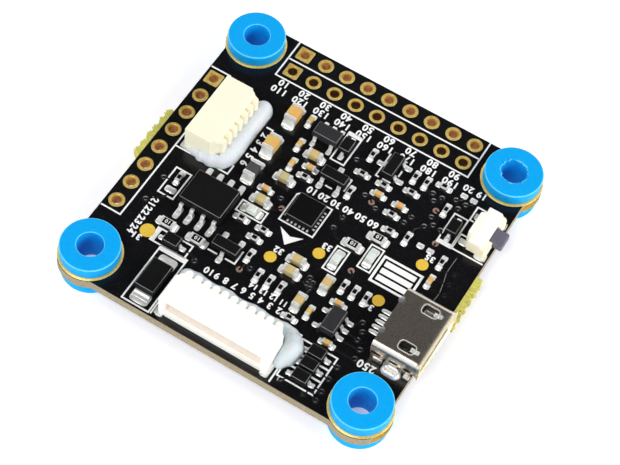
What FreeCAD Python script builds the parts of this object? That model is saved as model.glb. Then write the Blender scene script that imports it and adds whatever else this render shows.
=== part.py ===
import FreeCAD, Part
import math
import os

# Flight controller board: a small circuit board on four soft grommets, with its sockets,
# connectors, boot switch, chips and passives. All sizes are in millimetres.
# Origin: centre of the grommet pattern, in the plane of the grommets' lower faces.
# +Z is up out of the component side, -Y is the board's front, where the printed arrow points.

V = FreeCAD.Vector
os.makedirs("parts", exist_ok=True)

# ---------------------------------------------------------------- driving dimensions
HOLE_PITCH = 30.5
MOUNT_HOLE_R = 2.0
BOARD_X = 35.3
BOARD_Y = 36.0
BOARD_T = 1.2
EAR_R = 3.3
EAR_FILLET = 0.4
PLATING_T = 0.04
BARREL_T = 0.05

GROMMET_FLANGE_R = 3.05
GROMMET_BORE_R = 1.375
GROMMET_ABOVE = 1.5
GROMMET_BELOW = 1.6
GROMMET_EDGE_R = 0.3

UNDER = GROMMET_BELOW
TOP = GROMMET_BELOW + BOARD_T

HEADER_PITCH = 2.54
HEADER_HOLE_R = 0.5
HEADER_PAD_R = 0.83
HEADER_BARREL_T = 0.17
REAR_HEADER_WAYS = 9
REAR_HEADER_X = -10.2
REAR_OUTER_Y = 16.84
REAR_INNER_Y = 14.3
LEFT_HEADER_WAYS = 8
LEFT_HEADER_X = -16.51
LEFT_HEADER_Y = 8.93

SOCKET_DEPTH = 4.25
SOCKET_HEIGHT = 2.9
SOCKET_FLOOR = 0.45
SOCKET_WALL = 0.7
SOCKET_ROOF = 0.4
SOCKET_CAVITY_DEPTH = 3.3
FRONT_SOCKET_WAYS = 10
FRONT_SOCKET_X = -0.1
FRONT_SOCKET_Y = -17.2
LEFT_SOCKET_WAYS = 6
LEFT_SOCKET_X = -14.5
LEFT_SOCKET_Y = 4.3

USB_X = 13.1
USB_Y = -6.4
USB_LENGTH = 4.8
USB_WIDTH = 7.4
USB_HEIGHT = 2.6
USB_SHEET = 0.25
USB_LIP = 0.45
USB_LEG_X = 15.6
USB_CONTACT_PITCH = 0.65

SWITCH_Y = 7.6
SWITCH_HALF_Y = 2.33
SWITCH_BACK_X = 14.78
SWITCH_FRONT_X = 17.35
SWITCH_HEIGHT = 1.9
PLUNGER_TIP_X = 18.4

# Chip sizes: length, width, height, length of each metal end, length and width of its solder land.
SIZE_0402_RESISTOR = (1.0, 0.5, 0.35, 0.22)
SIZE_0402_CAPACITOR = (1.0, 0.5, 0.5, 0.22)
SIZE_0603_RESISTOR = (1.6, 0.82, 0.45, 0.28)
SIZE_0603_CAPACITOR = (1.6, 0.85, 0.8, 0.35)
SIZE_0805_CAPACITOR = (2.0, 1.3, 1.25, 0.4)
SIZE_0805_FERRITE = (2.0, 1.25, 0.95, 0.45)
SIZE_0603_LED = (1.6, 0.85, 0.6, 0.3)
LAND_0402 = (1.85, 0.62, 0.66)
LAND_0603 = (2.45, 0.75, 0.95)
LAND_0805 = (3.15, 0.85, 1.3)
LAND_T = 0.05

# Sites on the component side: x, y and the direction of the chip's length.
RESISTOR_0402_SITES = [
    (-2.15, -7.1, "y"), (-0.3, -8.55, "y"), (0.98, -8.55, "y"), (2.27, -8.55, "y"),
    (4.65, -10.85, "x"), (7.3, -5.0, "y"), (8.52, -5.0, "y"), (9.8, -5.0, "y"),
    (-2.8, -5.15, "x"), (-5.1, -3.87, "x"), (-2.55, -3.87, "x"), (-2.4, 3.75, "x"),
    (2.3, 4.7, "y"), (2.25, 7.32, "x"), (4.75, 7.32, "x"), (7.1, 4.75, "x"),
    (7.9, 2.95, "x"), (9.78, 3.18, "y"), (14.02, 2.65, "y"), (2.0, 9.87, "y"),
    (6.95, 9.95, "y"), (8.25, 9.95, "y"), (9.95, 10.57, "x"), (7.5, 8.12, "x"),
    (11.42, 8.22, "y"), (-12.75, -3.35, "y"),
]
CAPACITOR_0402_SITES = [
    (5.95, -9.3, "y"), (-4.87, 0.32, "x"), (-4.27, 4.35, "y"), (-2.45, 4.95, "x"),
    (-4.83, 6.78, "y"), (-5.38, 9.9, "y"), (4.87, 6.02, "x"), (7.35, 6.02, "x"),
    (14.05, 0.15, "y"), (7.87, -6.97, "x"), (9.12, -11.28, "x"),
]
CAPACITOR_0603_SITES = [
    (4.55, -8.92, "y"), (2.12, -5.12, "x"), (2.12, -6.55, "x"), (5.83, -5.78, "y"),
    (-4.55, -1.15, "x"), (-3.95, 2.35, "x"), (-2.8, 6.32, "x"),
]
CAPACITOR_0805_SITES = [(-7.05, 9.3, "y"), (-7.05, 4.95, "y")]
FERRITE_SITES = [(-7.05, 1.35, "y")]
RESISTOR_0603_SITES = [
    (-10.8, -8.47, "x"), (-7.38, -8.47, "x"), (7.43, 1.52, "x"), (5.67, -0.5, "x"),
]
LED_SITES = [(-4.68, -2.6, "x"), (5.15, -2.78, "y"), (7.9, -0.75, "y")]
DIODE_SITES = [
    (-9.22, -10.05, "x"), (-0.62, 9.08, "y"), (13.12, 6.62, "y"),
    (8.95, -12.88, "x"), (8.95, -14.36, "x"), (8.95, -15.86, "x"),
]
TRANSISTOR_SITES = [(-4.42, -7.75, 180), (0.25, 5.12, 0), (4.5, 9.53, 90)]
REGULATOR_SITES = [(-2.9, 9.07, 180), (8.53, -9.13, 90)]
TEST_PAD_SITES = [
    (3.35, -3.05, 0.63), (-0.43, -6.03, 0.63), (12.5, 1.45, 0.63), (10.9, -4.42, 0.63),
    (-12.03, -10.13, 0.77),
]
BARE_LAND_SITES = [(11.3, 3.23), (12.42, 3.23), (12.15, 10.8), (13.25, 10.8)]
JUMPER_LAND_SITES = [(-12.75, -4.95)]

MEMORY_CHIP = (-8.77, -4.03)
MOTION_SENSOR = (-0.06, 0.07)
INPUT_DIODE = (-8.42, -14.5)

MCU_SITE = (0.0, -1.5)
MCU_BODY = 7.0
MCU_LEADS_PER_SIDE = 12
MCU_LEAD_PITCH = 0.5
CRYSTAL_SITE = (7.6, -1.5)
UNDERSIDE_CAPACITOR_SITES = [
    (-6.6, -5.4, "x"), (-6.6, 2.4, "x"), (6.6, -5.4, "x"), (6.6, 2.4, "x"),
    (-2.5, 5.6, "y"), (2.5, 5.6, "y"), (7.6, 1.1, "x"), (7.6, -4.1, "x"),
]


# ---------------------------------------------------------------- helpers
def save(name, solids):
    """One node: a single solid, or a group of identical separate solids."""
    shape = solids[0] if len(solids) == 1 else Part.makeCompound(solids)
    shape.exportStep("parts/" + name + ".step")


def span(x0, x1, y0, y1, z0, z1):
    """A box between two limits on each axis."""
    return Part.makeBox(x1 - x0, y1 - y0, z1 - z0, V(x0, y0, z0))


def block(x, y, z, length, width, height):
    """A box centred on x and y that stands on z."""
    return span(x - length / 2, x + length / 2, y - width / 2, y + width / 2, z, z + height)


def rod(x, y, z, radius, height):
    return Part.makeCylinder(radius, height, V(x, y, z))


def outline(points, z):
    return Part.makePolygon([V(x, y, z) for x, y in points + points[:1]])


def prism(points, z0, z1):
    """A straight prism over a closed outline of x, y points."""
    return Part.Face(outline(points, z0)).extrude(V(0, 0, z1 - z0))


def rectangle(length, width):
    a, b = length / 2, width / 2
    return [(-a, -b), (a, -b), (a, b), (-a, b)]


def moulded(length, width, z0, z1, draft):
    """A moulded chip package: its four sides lean in, above and below the parting line."""
    middle = (z0 + z1) / 2
    small = rectangle(length - 2 * draft, width - 2 * draft)
    large = rectangle(length, width)
    wires = [outline(small, z0), outline(large, middle), outline(small, z1)]
    return Part.makeLoft(wires, True, True)


def place(shape, x, y, angle=0):
    """A copy turned about Z by angle degrees and moved to x, y."""
    copy = shape.copy()
    copy.rotate(V(0, 0, 0), V(0, 0, 1), angle)
    copy.translate(V(x, y, 0))
    return copy


def place_all(shapes, sites):
    """Copies of the shapes at every site, whose third value is a direction or an angle."""
    angles = {"x": 0, "y": 90}
    return [place(s, x, y, angles.get(turn, turn)) for x, y, turn in sites for s in shapes]


def flipped(shape):
    """A part made for the component side, moved to the underside."""
    copy = shape.copy()
    copy.rotate(V(0, 0, (TOP + UNDER) / 2), V(0, 1, 0), 180)
    return copy


def gull_lead(inner, toe, rise, width, sheet):
    """A bent lead along +X: out of the package at height rise, down, then flat to its toe."""
    knee = inner + 0.3 * (toe - inner)
    heel = inner + 0.5 * (toe - inner)
    upper = [(inner, rise), (knee, rise), (heel, sheet), (toe, sheet)]
    lower = [(toe, 0), (heel - sheet, 0), (knee - sheet, rise - sheet), (inner, rise - sheet)]
    points = [V(x, -width / 2, TOP + LAND_T + z) for x, z in upper + lower]
    return Part.Face(Part.makePolygon(points + points[:1])).extrude(V(0, width, 0))


# ---------------------------------------------------------------- positions that repeat
def hole_centres():
    half = HOLE_PITCH / 2
    return {"front_left": (-half, -half), "front_right": (half, -half),
            "rear_left": (-half, half), "rear_right": (half, half)}


def rear_header(y):
    return [(REAR_HEADER_X + HEADER_PITCH * n, y) for n in range(REAR_HEADER_WAYS)]


def left_header():
    return [(LEFT_HEADER_X, LEFT_HEADER_Y - HEADER_PITCH * n) for n in range(LEFT_HEADER_WAYS)]


def usb_leg_centres():
    offset = USB_WIDTH / 2 - USB_SHEET / 2
    return [(USB_LEG_X, USB_Y - offset), (USB_LEG_X, USB_Y + offset)]


# ---------------------------------------------------------------- board, plating, grommets
def slot(x, y, length, width, z0, z1):
    """An oblong prism with round ends, its length along X."""
    straight = block(x, y, z0, length - width, width, z1 - z0)
    ends = [rod(x + s * (length - width) / 2, y, z0, width / 2, z1 - z0) for s in (-1, 1)]
    return straight.fuse(ends).removeSplitter()


def board_blank():
    """The plate with a round ear at each corner and a small fillet where ear meets edge."""
    plate = span(-BOARD_X / 2, BOARD_X / 2, -BOARD_Y / 2, BOARD_Y / 2, UNDER, TOP)
    for x, y in hole_centres().values():
        corner = V(math.copysign(3, x), math.copysign(3, y), 0)
        square = block(x + corner.x / 2, y + corner.y / 2, UNDER, 3, 3, BOARD_T)
        plate = plate.cut(square)
        plate = plate.fuse(rod(x, y, UNDER, EAR_R, BOARD_T))
    plate = plate.removeSplitter()
    dx = math.sqrt(EAR_R ** 2 - (BOARD_Y / 2 - HOLE_PITCH / 2) ** 2)
    dy = math.sqrt(EAR_R ** 2 - (BOARD_X / 2 - HOLE_PITCH / 2) ** 2)
    along_x = (HOLE_PITCH / 2 - dx, BOARD_Y / 2)
    along_y = (BOARD_X / 2, HOLE_PITCH / 2 - dy)
    notches = []
    for edge in plate.Edges:
        middle = edge.valueAt((edge.FirstParameter + edge.LastParameter) / 2)
        upright = abs(edge.BoundBox.ZLength - BOARD_T) < 1e-6
        place_xy = (abs(middle.x), abs(middle.y))
        near = min(math.dist(place_xy, along_x), math.dist(place_xy, along_y))
        if upright and near < 1e-3:
            notches.append(edge)
    return plate.makeFillet(EAR_FILLET, notches)


def tab_stub(side):
    """What is left of the break-off tab: a bitten strip on the board's long edge."""
    length, proud, bites = 6.6, 0.42, 6
    edge = side * BOARD_X / 2
    strip = block(edge + side * proud / 2, 0, UNDER, proud, length, BOARD_T)
    pitch = length / bites
    for n in range(bites):
        y = -length / 2 + pitch * (n + 0.5)
        strip = strip.cut(rod(edge + side * (proud + 0.08), y, UNDER, 0.36, BOARD_T))
    return strip


def circuit_board():
    board = board_blank().fuse([tab_stub(-1), tab_stub(1)]).removeSplitter()
    cutters = [rod(x, y, UNDER, MOUNT_HOLE_R + BARREL_T, BOARD_T) for x, y in hole_centres().values()]
    for x, y in left_header() + rear_header(REAR_OUTER_Y) + rear_header(REAR_INNER_Y):
        cutters.append(rod(x, y, UNDER, HEADER_HOLE_R + HEADER_BARREL_T, BOARD_T))
    for x, y in usb_leg_centres():
        cutters.append(slot(x, y, 1.3, 0.75, UNDER, TOP))
    return board.cut(cutters)


def eyelet(x, y, bore_r, pad_r, barrel_t, square=False):
    """A plated hole: a thin barrel through the board with a flat pad on each face."""
    if square:
        pads = [block(x, y, z, 2 * pad_r, 2 * pad_r, PLATING_T) for z in (UNDER - PLATING_T, TOP)]
    else:
        pads = [rod(x, y, z, pad_r, PLATING_T) for z in (UNDER - PLATING_T, TOP)]
    barrel = rod(x, y, UNDER, bore_r + barrel_t, BOARD_T)
    bore = rod(x, y, UNDER - PLATING_T, bore_r, BOARD_T + 2 * PLATING_T)
    return barrel.fuse(pads).cut(bore).removeSplitter()


def header_eyelets(centres):
    """One eyelet for each way of a header; the first pad is square."""
    shapes = []
    for n, (x, y) in enumerate(centres):
        shapes.append(eyelet(x, y, HEADER_HOLE_R, HEADER_PAD_R, HEADER_BARREL_T, n == 0))
    return shapes


def usb_leg_eyelet(x, y):
    """A plated oblong hole for one leg of the USB shell."""
    pads = [slot(x, y, 1.9, 1.35, z, z + PLATING_T) for z in (UNDER - PLATING_T, TOP)]
    barrel = slot(x, y, 1.3, 0.75, UNDER, TOP)
    bore = slot(x, y, 1.2, 0.65, UNDER - PLATING_T, TOP + PLATING_T)
    return barrel.fuse(pads).cut(bore).removeSplitter()


def grommet(x, y):
    """A soft bobbin: a flange above and below the board, a neck in its hole, a bore through."""
    height = GROMMET_BELOW + BOARD_T + GROMMET_ABOVE
    groove_low = UNDER - PLATING_T
    groove_high = TOP + PLATING_T
    lower = rod(x, y, 0, GROMMET_FLANGE_R, groove_low)
    upper = rod(x, y, groove_high, GROMMET_FLANGE_R, height - groove_high)
    lower = lower.makeFillet(GROMMET_EDGE_R, rims_at(lower, 0))
    upper = upper.makeFillet(GROMMET_EDGE_R, rims_at(upper, height))
    neck = rod(x, y, groove_low, MOUNT_HOLE_R, groove_high - groove_low)
    return lower.fuse([neck, upper]).cut(rod(x, y, 0, GROMMET_BORE_R, height)).removeSplitter()


def rims_at(shape, z):
    """The circular edges that lie in the plane at height z."""
    return [e for e in shape.Edges if e.BoundBox.ZLength < 1e-6 and abs(e.BoundBox.ZMin - z) < 1e-6]


# ---------------------------------------------------------------- side-entry sockets
def socket_housing(ways):
    """The housing with its mouth towards -Y at y = 0, and a slot at the back for each contact."""
    half = (ways + 2) / 2
    z = TOP
    body = span(-half, half, 0, SOCKET_DEPTH, z, z + SOCKET_HEIGHT)
    cavity = span(-half + SOCKET_WALL, half - SOCKET_WALL, 0, SOCKET_CAVITY_DEPTH,
                  z + SOCKET_FLOOR, z + SOCKET_HEIGHT - SOCKET_ROOF)
    cutters = [cavity]
    for x in contact_offsets(ways):
        cutters.append(span(x - 0.16, x + 0.16, SOCKET_DEPTH - 0.5, SOCKET_DEPTH, z, z + SOCKET_HEIGHT))
        cutters.append(span(x - 0.11, x + 0.11, SOCKET_CAVITY_DEPTH, SOCKET_DEPTH - 0.5, z + 1.3, z + 1.6))
    for side in (-1, 1):
        foot = span(0, 0.55, 0, 2.0, z, z + 0.3)
        foot.translate(V(half - 0.55 if side > 0 else -half, 0, 0))
        cutters.append(foot)
    return body.cut(cutters).removeSplitter()


def contact_offsets(ways):
    return [n - (ways - 1) / 2 for n in range(ways)]


def socket_contact(x):
    """A blade in the mouth, a stem down the back and a foot on its solder land."""
    z = TOP + LAND_T
    blade = span(x - 0.1, x + 0.1, 1.0, SOCKET_DEPTH - 0.2, TOP + 1.35, TOP + 1.55)
    stem = span(x - 0.1, x + 0.1, SOCKET_DEPTH - 0.3, SOCKET_DEPTH - 0.1, z, TOP + 1.55)
    foot = span(x - 0.1, x + 0.1, SOCKET_DEPTH - 0.3, SOCKET_DEPTH + 0.75, z, z + 0.15)
    return blade.fuse([stem, foot]).removeSplitter()


def socket_tab(ways, side):
    """The plated bracket that holds one end of the housing to the board."""
    half = (ways + 2) / 2
    inner, outer = half - 0.55, half + 0.35
    x0, x1 = (inner, outer) if side > 0 else (-outer, -inner)
    return span(x0, x1, -0.3, 1.9, TOP + LAND_T, TOP + 0.3)


def front_socket(shapes):
    return [place(s, FRONT_SOCKET_X, FRONT_SOCKET_Y) for s in shapes]


def left_socket(shapes):
    return [place(s, LEFT_SOCKET_X, LEFT_SOCKET_Y, -90) for s in shapes]


def glue_bead(foot, crown, height, neighbours):
    """A bead of glue: a low mound over an outline, cut clear of everything it clings to."""
    mound = Part.makeLoft([outline(foot, TOP), outline(crown, TOP + height)], True, True)
    return mound.cut(neighbours)


def front_glue(neighbours):
    """Behind the front socket and round its right end."""
    foot = [(-6.6, -13.1), (-6.2, -11.6), (-5.0, -11.05), (3.6, -11.35), (5.2, -11.6),
            (6.9, -12.6), (7.25, -14.4), (6.9, -15.7), (5.7, -15.9), (5.7, -13.1)]
    crown = [(-6.3, -13.1), (-6.1, -12.5), (-5.0, -12.3), (3.6, -12.4), (5.4, -12.5),
             (6.3, -12.9), (6.5, -14.2), (6.3, -15.2), (5.7, -15.4), (5.7, -13.1)]
    return glue_bead(foot, crown, 1.4, neighbours)


def left_glue(neighbours):
    """Behind the left socket and round its front end."""
    foot = [(-10.5, 8.7), (-9.2, 8.9), (-8.5, 7.6), (-8.35, 5.6), (-9.0, 3.6), (-8.9, 0.6),
            (-10.2, -0.75), (-12.3, -0.85), (-13.2, -0.1), (-13.0, 0.6), (-10.5, 0.6)]
    crown = [(-10.4, 8.2), (-9.8, 8.1), (-9.4, 7.2), (-9.3, 5.4), (-9.5, 3.6), (-9.5, 1.0),
             (-10.4, 0.0), (-12.0, -0.2), (-12.6, 0.1), (-12.5, 0.45), (-10.4, 0.5)]
    return glue_bead(foot, crown, 1.9, neighbours)


# ---------------------------------------------------------------- micro USB connector
def usb_section(grow):
    """The shell's outline across X: wide on top, its lower corners cut off."""
    half = USB_WIDTH / 2 + grow
    low = TOP + 0.12 - grow
    high = TOP + USB_HEIGHT + grow
    cut_y, cut_z, round_r = 0.75, 0.7, 0.45
    right = [(half - cut_y, low), (half, low + cut_z), (half, high - round_r),
             (half - 0.13, high - 0.13), (half - round_r, high)]
    left = [(-y, z) for y, z in reversed(right)]
    return right + left


def usb_prism(grow0, x0, grow1, x1):
    """The solid between one outline at x0 and another at x1."""
    wires = []
    for grow, x in ((grow0, x0), (grow1, x1)):
        points = [V(x, USB_Y + y, z) for y, z in usb_section(grow)]
        wires.append(Part.makePolygon(points + points[:1]))
    return Part.makeLoft(wires, True, True)


def usb_latch_slots():
    """Two latch windows near the mouth, each with a narrow end, and a relief at the rear edge."""
    cutters = []
    z0, z1 = TOP + USB_HEIGHT - USB_SHEET - 0.01, TOP + USB_HEIGHT + 0.01
    for side in (-1, 1):
        y = USB_Y + side * 2.3
        window = slot(16.15, y, 1.6, 1.0, z0, z1)
        cutters.append(window.fuse(slot(16.9, y, 1.3, 0.6, z0, z1)))
        cutters.append(rod(USB_X + 0.1, USB_Y + side * 1.95, z0, 0.36, z1 - z0))
    return cutters


def usb_shell():
    mouth = USB_X + USB_LENGTH
    lip = mouth + USB_LIP
    outer = usb_prism(0, USB_X, 0, mouth).fuse(usb_prism(0, mouth, 0.22, lip))
    inner = usb_prism(-USB_SHEET, USB_X, -USB_SHEET, mouth)
    inner = inner.fuse(usb_prism(-USB_SHEET, mouth, 0.22 - USB_SHEET, lip))
    shell = outer.cut(inner).cut(usb_latch_slots())
    pieces = []
    for side in (-1, 1):
        y = USB_Y + side * (USB_WIDTH - USB_SHEET) / 2
        for x0, x1 in ((13.2, 14.3), (16.65, 17.5)):
            pieces.append(span(x0, x1, y - USB_SHEET / 2, y + USB_SHEET / 2, TOP + 0.02, TOP + 1.2))
        pieces.append(block(USB_LEG_X, y, UNDER - 0.45, 1.0, USB_SHEET, BOARD_T + 1.65))
    return shell.fuse(pieces).removeSplitter()


def usb_insulator():
    """The plastic block that closes the back and carries the tongue, grooved for the contacts."""
    back = usb_prism(-USB_SHEET, USB_X, -USB_SHEET, USB_X + 1.2)
    tongue = span(USB_X + 1.2, USB_X + 4.4, USB_Y - 1.9, USB_Y + 1.9, TOP + 1.35, TOP + 1.95)
    return back.fuse(tongue).cut([usb_contact(n, 0.01) for n in range(5)]).removeSplitter()


def usb_contact(n, ease=0.0):
    """A spring strip under the tongue, a stem down the back and a foot towards -X."""
    y = USB_Y + (n - 2) * USB_CONTACT_PITCH
    half = 0.15 + ease
    strip = span(USB_X - 0.2, USB_X + 4.1, y - half, y + half, TOP + 1.3, TOP + 1.45 + ease)
    stem = span(USB_X - 0.2, USB_X - 0.05, y - half, y + half, TOP + LAND_T, TOP + 1.45)
    foot = span(USB_X - 1.1, USB_X - 0.05, y - half, y + half, TOP + LAND_T, TOP + 0.2)
    return strip.fuse([stem, foot]).removeSplitter()


# ---------------------------------------------------------------- boot switch
def switch_outline(front_x):
    """The housing seen from above: a bay at the back, square shoulders, a straight front."""
    step_x, bay, end = SWITCH_BACK_X + 0.47, 1.35, SWITCH_HALF_Y
    half = [(front_x, 0), (front_x, end - 0.25), (front_x - 0.25, end), (step_x, end),
            (step_x, bay + 0.25), (SWITCH_BACK_X, bay), (SWITCH_BACK_X, 0)]
    mirrored = [(x, -y) for x, y in reversed(half[1:-1])]
    return [(x, SWITCH_Y + y) for x, y in half + mirrored]


def switch_housing():
    body = prism(switch_outline(SWITCH_FRONT_X), TOP + 0.22, TOP + 1.5)
    pocket = span(15.4, 16.75, SWITCH_Y - 1.35, SWITCH_Y + 1.35, TOP + 0.45, TOP + 1.5)
    mouth = span(16.75, SWITCH_FRONT_X, SWITCH_Y - 0.97, SWITCH_Y + 0.97, TOP + 0.45, TOP + 1.5)
    return body.cut([pocket, mouth])


def switch_cover():
    return prism(switch_outline(16.93), TOP + 1.5, TOP + SWITCH_HEIGHT)


def switch_plunger():
    """The key: a stem through the mouth of the housing, held in by a wider head."""
    z0, z1 = TOP + 0.55, TOP + 1.42
    stem = span(16.2, PLUNGER_TIP_X, SWITCH_Y - 0.88, SWITCH_Y + 0.88, z0, z1)
    head = span(16.2, 16.6, SWITCH_Y - 1.2, SWITCH_Y + 1.2, z0, z1)
    nub = span(15.95, 16.2, SWITCH_Y - 0.25, SWITCH_Y + 0.25, z0 + 0.2, z1 - 0.2)
    key = stem.fuse([head, nub]).removeSplitter()
    tip_edges = [e for e in key.Edges if e.BoundBox.XMin > PLUNGER_TIP_X - 1e-6]
    return key.makeChamfer(0.12, tip_edges)


def switch_dome():
    """The snap spring: a bowed strip behind the key, its crown towards the key."""
    z0, height, sheet = TOP + 0.6, 0.75, 0.06

    def bow(crown_x, foot_x, half):
        arc = Part.Arc(V(foot_x, SWITCH_Y - half, z0), V(crown_x, SWITCH_Y, z0),
                       V(foot_x, SWITCH_Y + half, z0))
        chord = Part.LineSegment(V(foot_x, SWITCH_Y + half, z0), V(foot_x, SWITCH_Y - half, z0))
        return Part.Face(Part.Wire([arc.toShape(), chord.toShape()])).extrude(V(0, 0, height))

    crown = 15.93
    return bow(crown, 15.45, 1.1).cut(bow(crown - sheet, 15.45, 1.1 - sheet))


def switch_terminals():
    """Two plates under the ends of the housing, each with a rear foot and a front foot."""
    plates = []
    for side in (-1, 1):
        y = SWITCH_Y + side * 1.68
        plate = block(15.75, y, TOP + LAND_T, 3.1, 0.6, 0.15)
        y_foot = SWITCH_Y + side * 2.2
        foot = block(16.85, y_foot, TOP + LAND_T, 1.2, 0.76, 0.15)
        plates.append(plate.fuse(foot).removeSplitter())
    return plates


# ---------------------------------------------------------------- chips
def chip_body(size):
    length, width, height, end = size
    return block(0, 0, TOP + LAND_T, length - 2 * end, width, height)


def chip_ends(size):
    length, width, height, end = size
    x = (length - end) / 2
    return [block(s * x, 0, TOP + LAND_T, end, width + 0.02, height + 0.01) for s in (-1, 1)]


def lands(land):
    """The two solder lands of a chip: overall length, each one's length, and width."""
    overall, each, width = land
    x = (overall - each) / 2
    return [block(s * x, 0, TOP, each, width, LAND_T) for s in (-1, 1)]


def led_parts():
    """A resin lens on a white base, between two metal ends."""
    length, width, height, end = SIZE_0603_LED
    base = block(0, 0, TOP + LAND_T, length - 2 * end, width, 0.25)
    lens = moulded(length - 2 * end, width, TOP + LAND_T + 0.25, TOP + LAND_T + height, 0.06)
    x = (length - end) / 2
    ends = [block(s * x, 0, TOP + LAND_T, end, width, 0.28) for s in (-1, 1)]
    return base, lens, ends


def diode_body():
    return moulded(1.7, 1.25, TOP + LAND_T + 0.05, TOP + 0.95, 0.08)


def diode_leads():
    lead = gull_lead(0.86, 1.32, 0.42, 0.32, 0.13)
    return [place(lead, 0, 0, turn) for turn in (0, 180)]


def input_diode():
    x, y = INPUT_DIODE
    body = moulded(3.6, 2.25, TOP + LAND_T + 0.17, TOP + 1.15, 0.12)
    lead = gull_lead(1.82, 2.45, 0.42, 1.7, 0.16)
    return place(body, x, y, 90), [place(lead, x, y, turn) for turn in (90, 270)]


def transistor_body():
    return moulded(2.9, 1.3, TOP + LAND_T + 0.05, TOP + 1.05, 0.07)


def transistor_leads():
    """One lead at the rear, two at the front, seen with the single lead towards +Y."""
    lead = gull_lead(0.66, 1.22, 0.5, 0.42, 0.13)
    single = place(lead, 0, 0, 90)
    pair = [place(place(lead, 0, 0, 270), x, 0) for x in (-0.95, 0.95)]
    return [single] + pair


def regulator_body():
    return moulded(2.9, 1.6, TOP + LAND_T + 0.07, TOP + 1.2, 0.08)


def regulator_leads():
    """Three leads towards -Y and two towards +Y."""
    lead = gull_lead(0.81, 1.42, 0.55, 0.4, 0.13)
    threes = [place(place(lead, 0, 0, 270), x, 0) for x in (-0.95, 0, 0.95)]
    twos = [place(place(lead, 0, 0, 90), x, 0) for x in (-0.95, 0.95)]
    return threes + twos


def memory_chip():
    x, y = MEMORY_CHIP
    body = place(moulded(4.9, 3.9, TOP + LAND_T + 0.1, TOP + 1.6, 0.14), x, y)
    lead = gull_lead(1.96, 3.02, 0.8, 0.42, 0.18)
    leads = []
    for offset in (-1.905, -0.635, 0.635, 1.905):
        for turn in (90, 270):
            leads.append(place(place(lead, 0, 0, turn), x + offset, y))
    return body, leads


def motion_sensor():
    """A flat leadless package with six lands along each side."""
    x, y = MOTION_SENSOR
    side, height, thick = 3.0, 0.9, 0.04
    body = block(x, y, TOP + thick, side, side, height)
    pads = []
    for n in range(6):
        offset = (n - 2.5) * 0.45
        for dx, dy in ((1, 0), (-1, 0), (0, 1), (0, -1)):
            px = x + dx * 1.5 + abs(dy) * offset
            py = y + dy * 1.5 + abs(dx) * offset
            pads.append(block(px, py, TOP, 0.22 + 0.2 * abs(dx), 0.22 + 0.2 * abs(dy), thick))
    return body, pads


def microcontroller():
    """The main chip on the underside, with leads on all four sides."""
    x, y = MCU_SITE
    body = moulded(MCU_BODY, MCU_BODY, TOP + LAND_T + 0.06, TOP + 1.46, 0.15)
    lead = gull_lead(MCU_BODY / 2 + 0.01, MCU_BODY / 2 + 1.0, 0.7, 0.22, 0.13)
    leads = []
    for n in range(MCU_LEADS_PER_SIDE):
        offset = (n - (MCU_LEADS_PER_SIDE - 1) / 2) * MCU_LEAD_PITCH
        row = place(lead, 0, offset)
        leads += [place(row, x, y, turn) for turn in (0, 90, 180, 270)]
    return flipped(place(body, x, y)), [flipped(one) for one in leads]


def crystal():
    """A small metal-lidded resonator on a ceramic base."""
    x, y = CRYSTAL_SITE
    can = block(x, y, TOP + LAND_T, 3.2, 2.5, 0.75)
    uprights = [e for e in can.Edges if abs(e.BoundBox.ZLength - 0.75) < 1e-6]
    return flipped(can.makeFillet(0.3, uprights))


# ---------------------------------------------------------------- solder lands
def component_lands():
    """Every tinned land on the component side, one solid each."""
    small = place_all(lands(LAND_0402), RESISTOR_0402_SITES + CAPACITOR_0402_SITES)
    medium_sites = CAPACITOR_0603_SITES + RESISTOR_0603_SITES + LED_SITES
    medium = place_all(lands(LAND_0603), medium_sites)
    large = place_all(lands(LAND_0805), CAPACITOR_0805_SITES + FERRITE_SITES)
    diodes = place_all(lands((3.1, 0.7, 0.55)), DIODE_SITES)
    bare = [block(x, y, TOP, 0.75, 0.62, LAND_T) for x, y in BARE_LAND_SITES]
    jumper = [block(x, y, TOP, 1.2, 0.75, LAND_T) for x, y in JUMPER_LAND_SITES]
    return small + medium + large + diodes + bare + jumper + leaded_lands()


def leaded_lands():
    """Lands under the leads of the larger packages and the switch."""
    pads = []
    for x, y, turn in TRANSISTOR_SITES:
        spots = [(0, 1.35), (-0.95, -1.35), (0.95, -1.35)]
        pads += [place(block(dx, dy, TOP, 0.6, 0.8, LAND_T), x, y, turn) for dx, dy in spots]
    for x, y, turn in REGULATOR_SITES:
        spots = [(-0.95, -1.4), (0, -1.4), (0.95, -1.4), (-0.95, 1.4), (0.95, 1.4)]
        pads += [place(block(dx, dy, TOP, 0.5, 0.65, LAND_T), x, y, turn) for dx, dy in spots]
    x, y = MEMORY_CHIP
    for offset in (-1.905, -0.635, 0.635, 1.905):
        pads += [block(x + offset, y + s * 2.75, TOP, 0.62, 1.5, LAND_T) for s in (-1, 1)]
    x, y = INPUT_DIODE
    pads += [block(x, y + s * 2.25, TOP, 2.0, 1.45, LAND_T) for s in (-1, 1)]
    for side in (-1, 1):
        pads.append(block(14.7, SWITCH_Y + side * 1.68, TOP, 1.0, 0.7, LAND_T))
        pads.append(block(16.85, SWITCH_Y + side * 2.2, TOP, 1.25, 0.85, LAND_T))
    for n in range(5):
        y = USB_Y + (n - 2) * USB_CONTACT_PITCH
        pads.append(block(USB_X - 0.72, y, TOP, 1.35, 0.4, LAND_T))
    return pads + socket_lands()


def socket_lands():
    """Lands under the contacts and brackets of both sockets."""
    pads = []
    for ways, put in ((FRONT_SOCKET_WAYS, front_socket), (LEFT_SOCKET_WAYS, left_socket)):
        feet = [block(x, SOCKET_DEPTH + 0.45, TOP, 0.5, 0.9, LAND_T) for x in contact_offsets(ways)]
        half = (ways + 2) / 2
        tabs = [block(s * (half - 0.1), 0.8, TOP, 0.9, 2.3, LAND_T) for s in (-1, 1)]
        pads += put(feet + tabs)
    return pads


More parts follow.
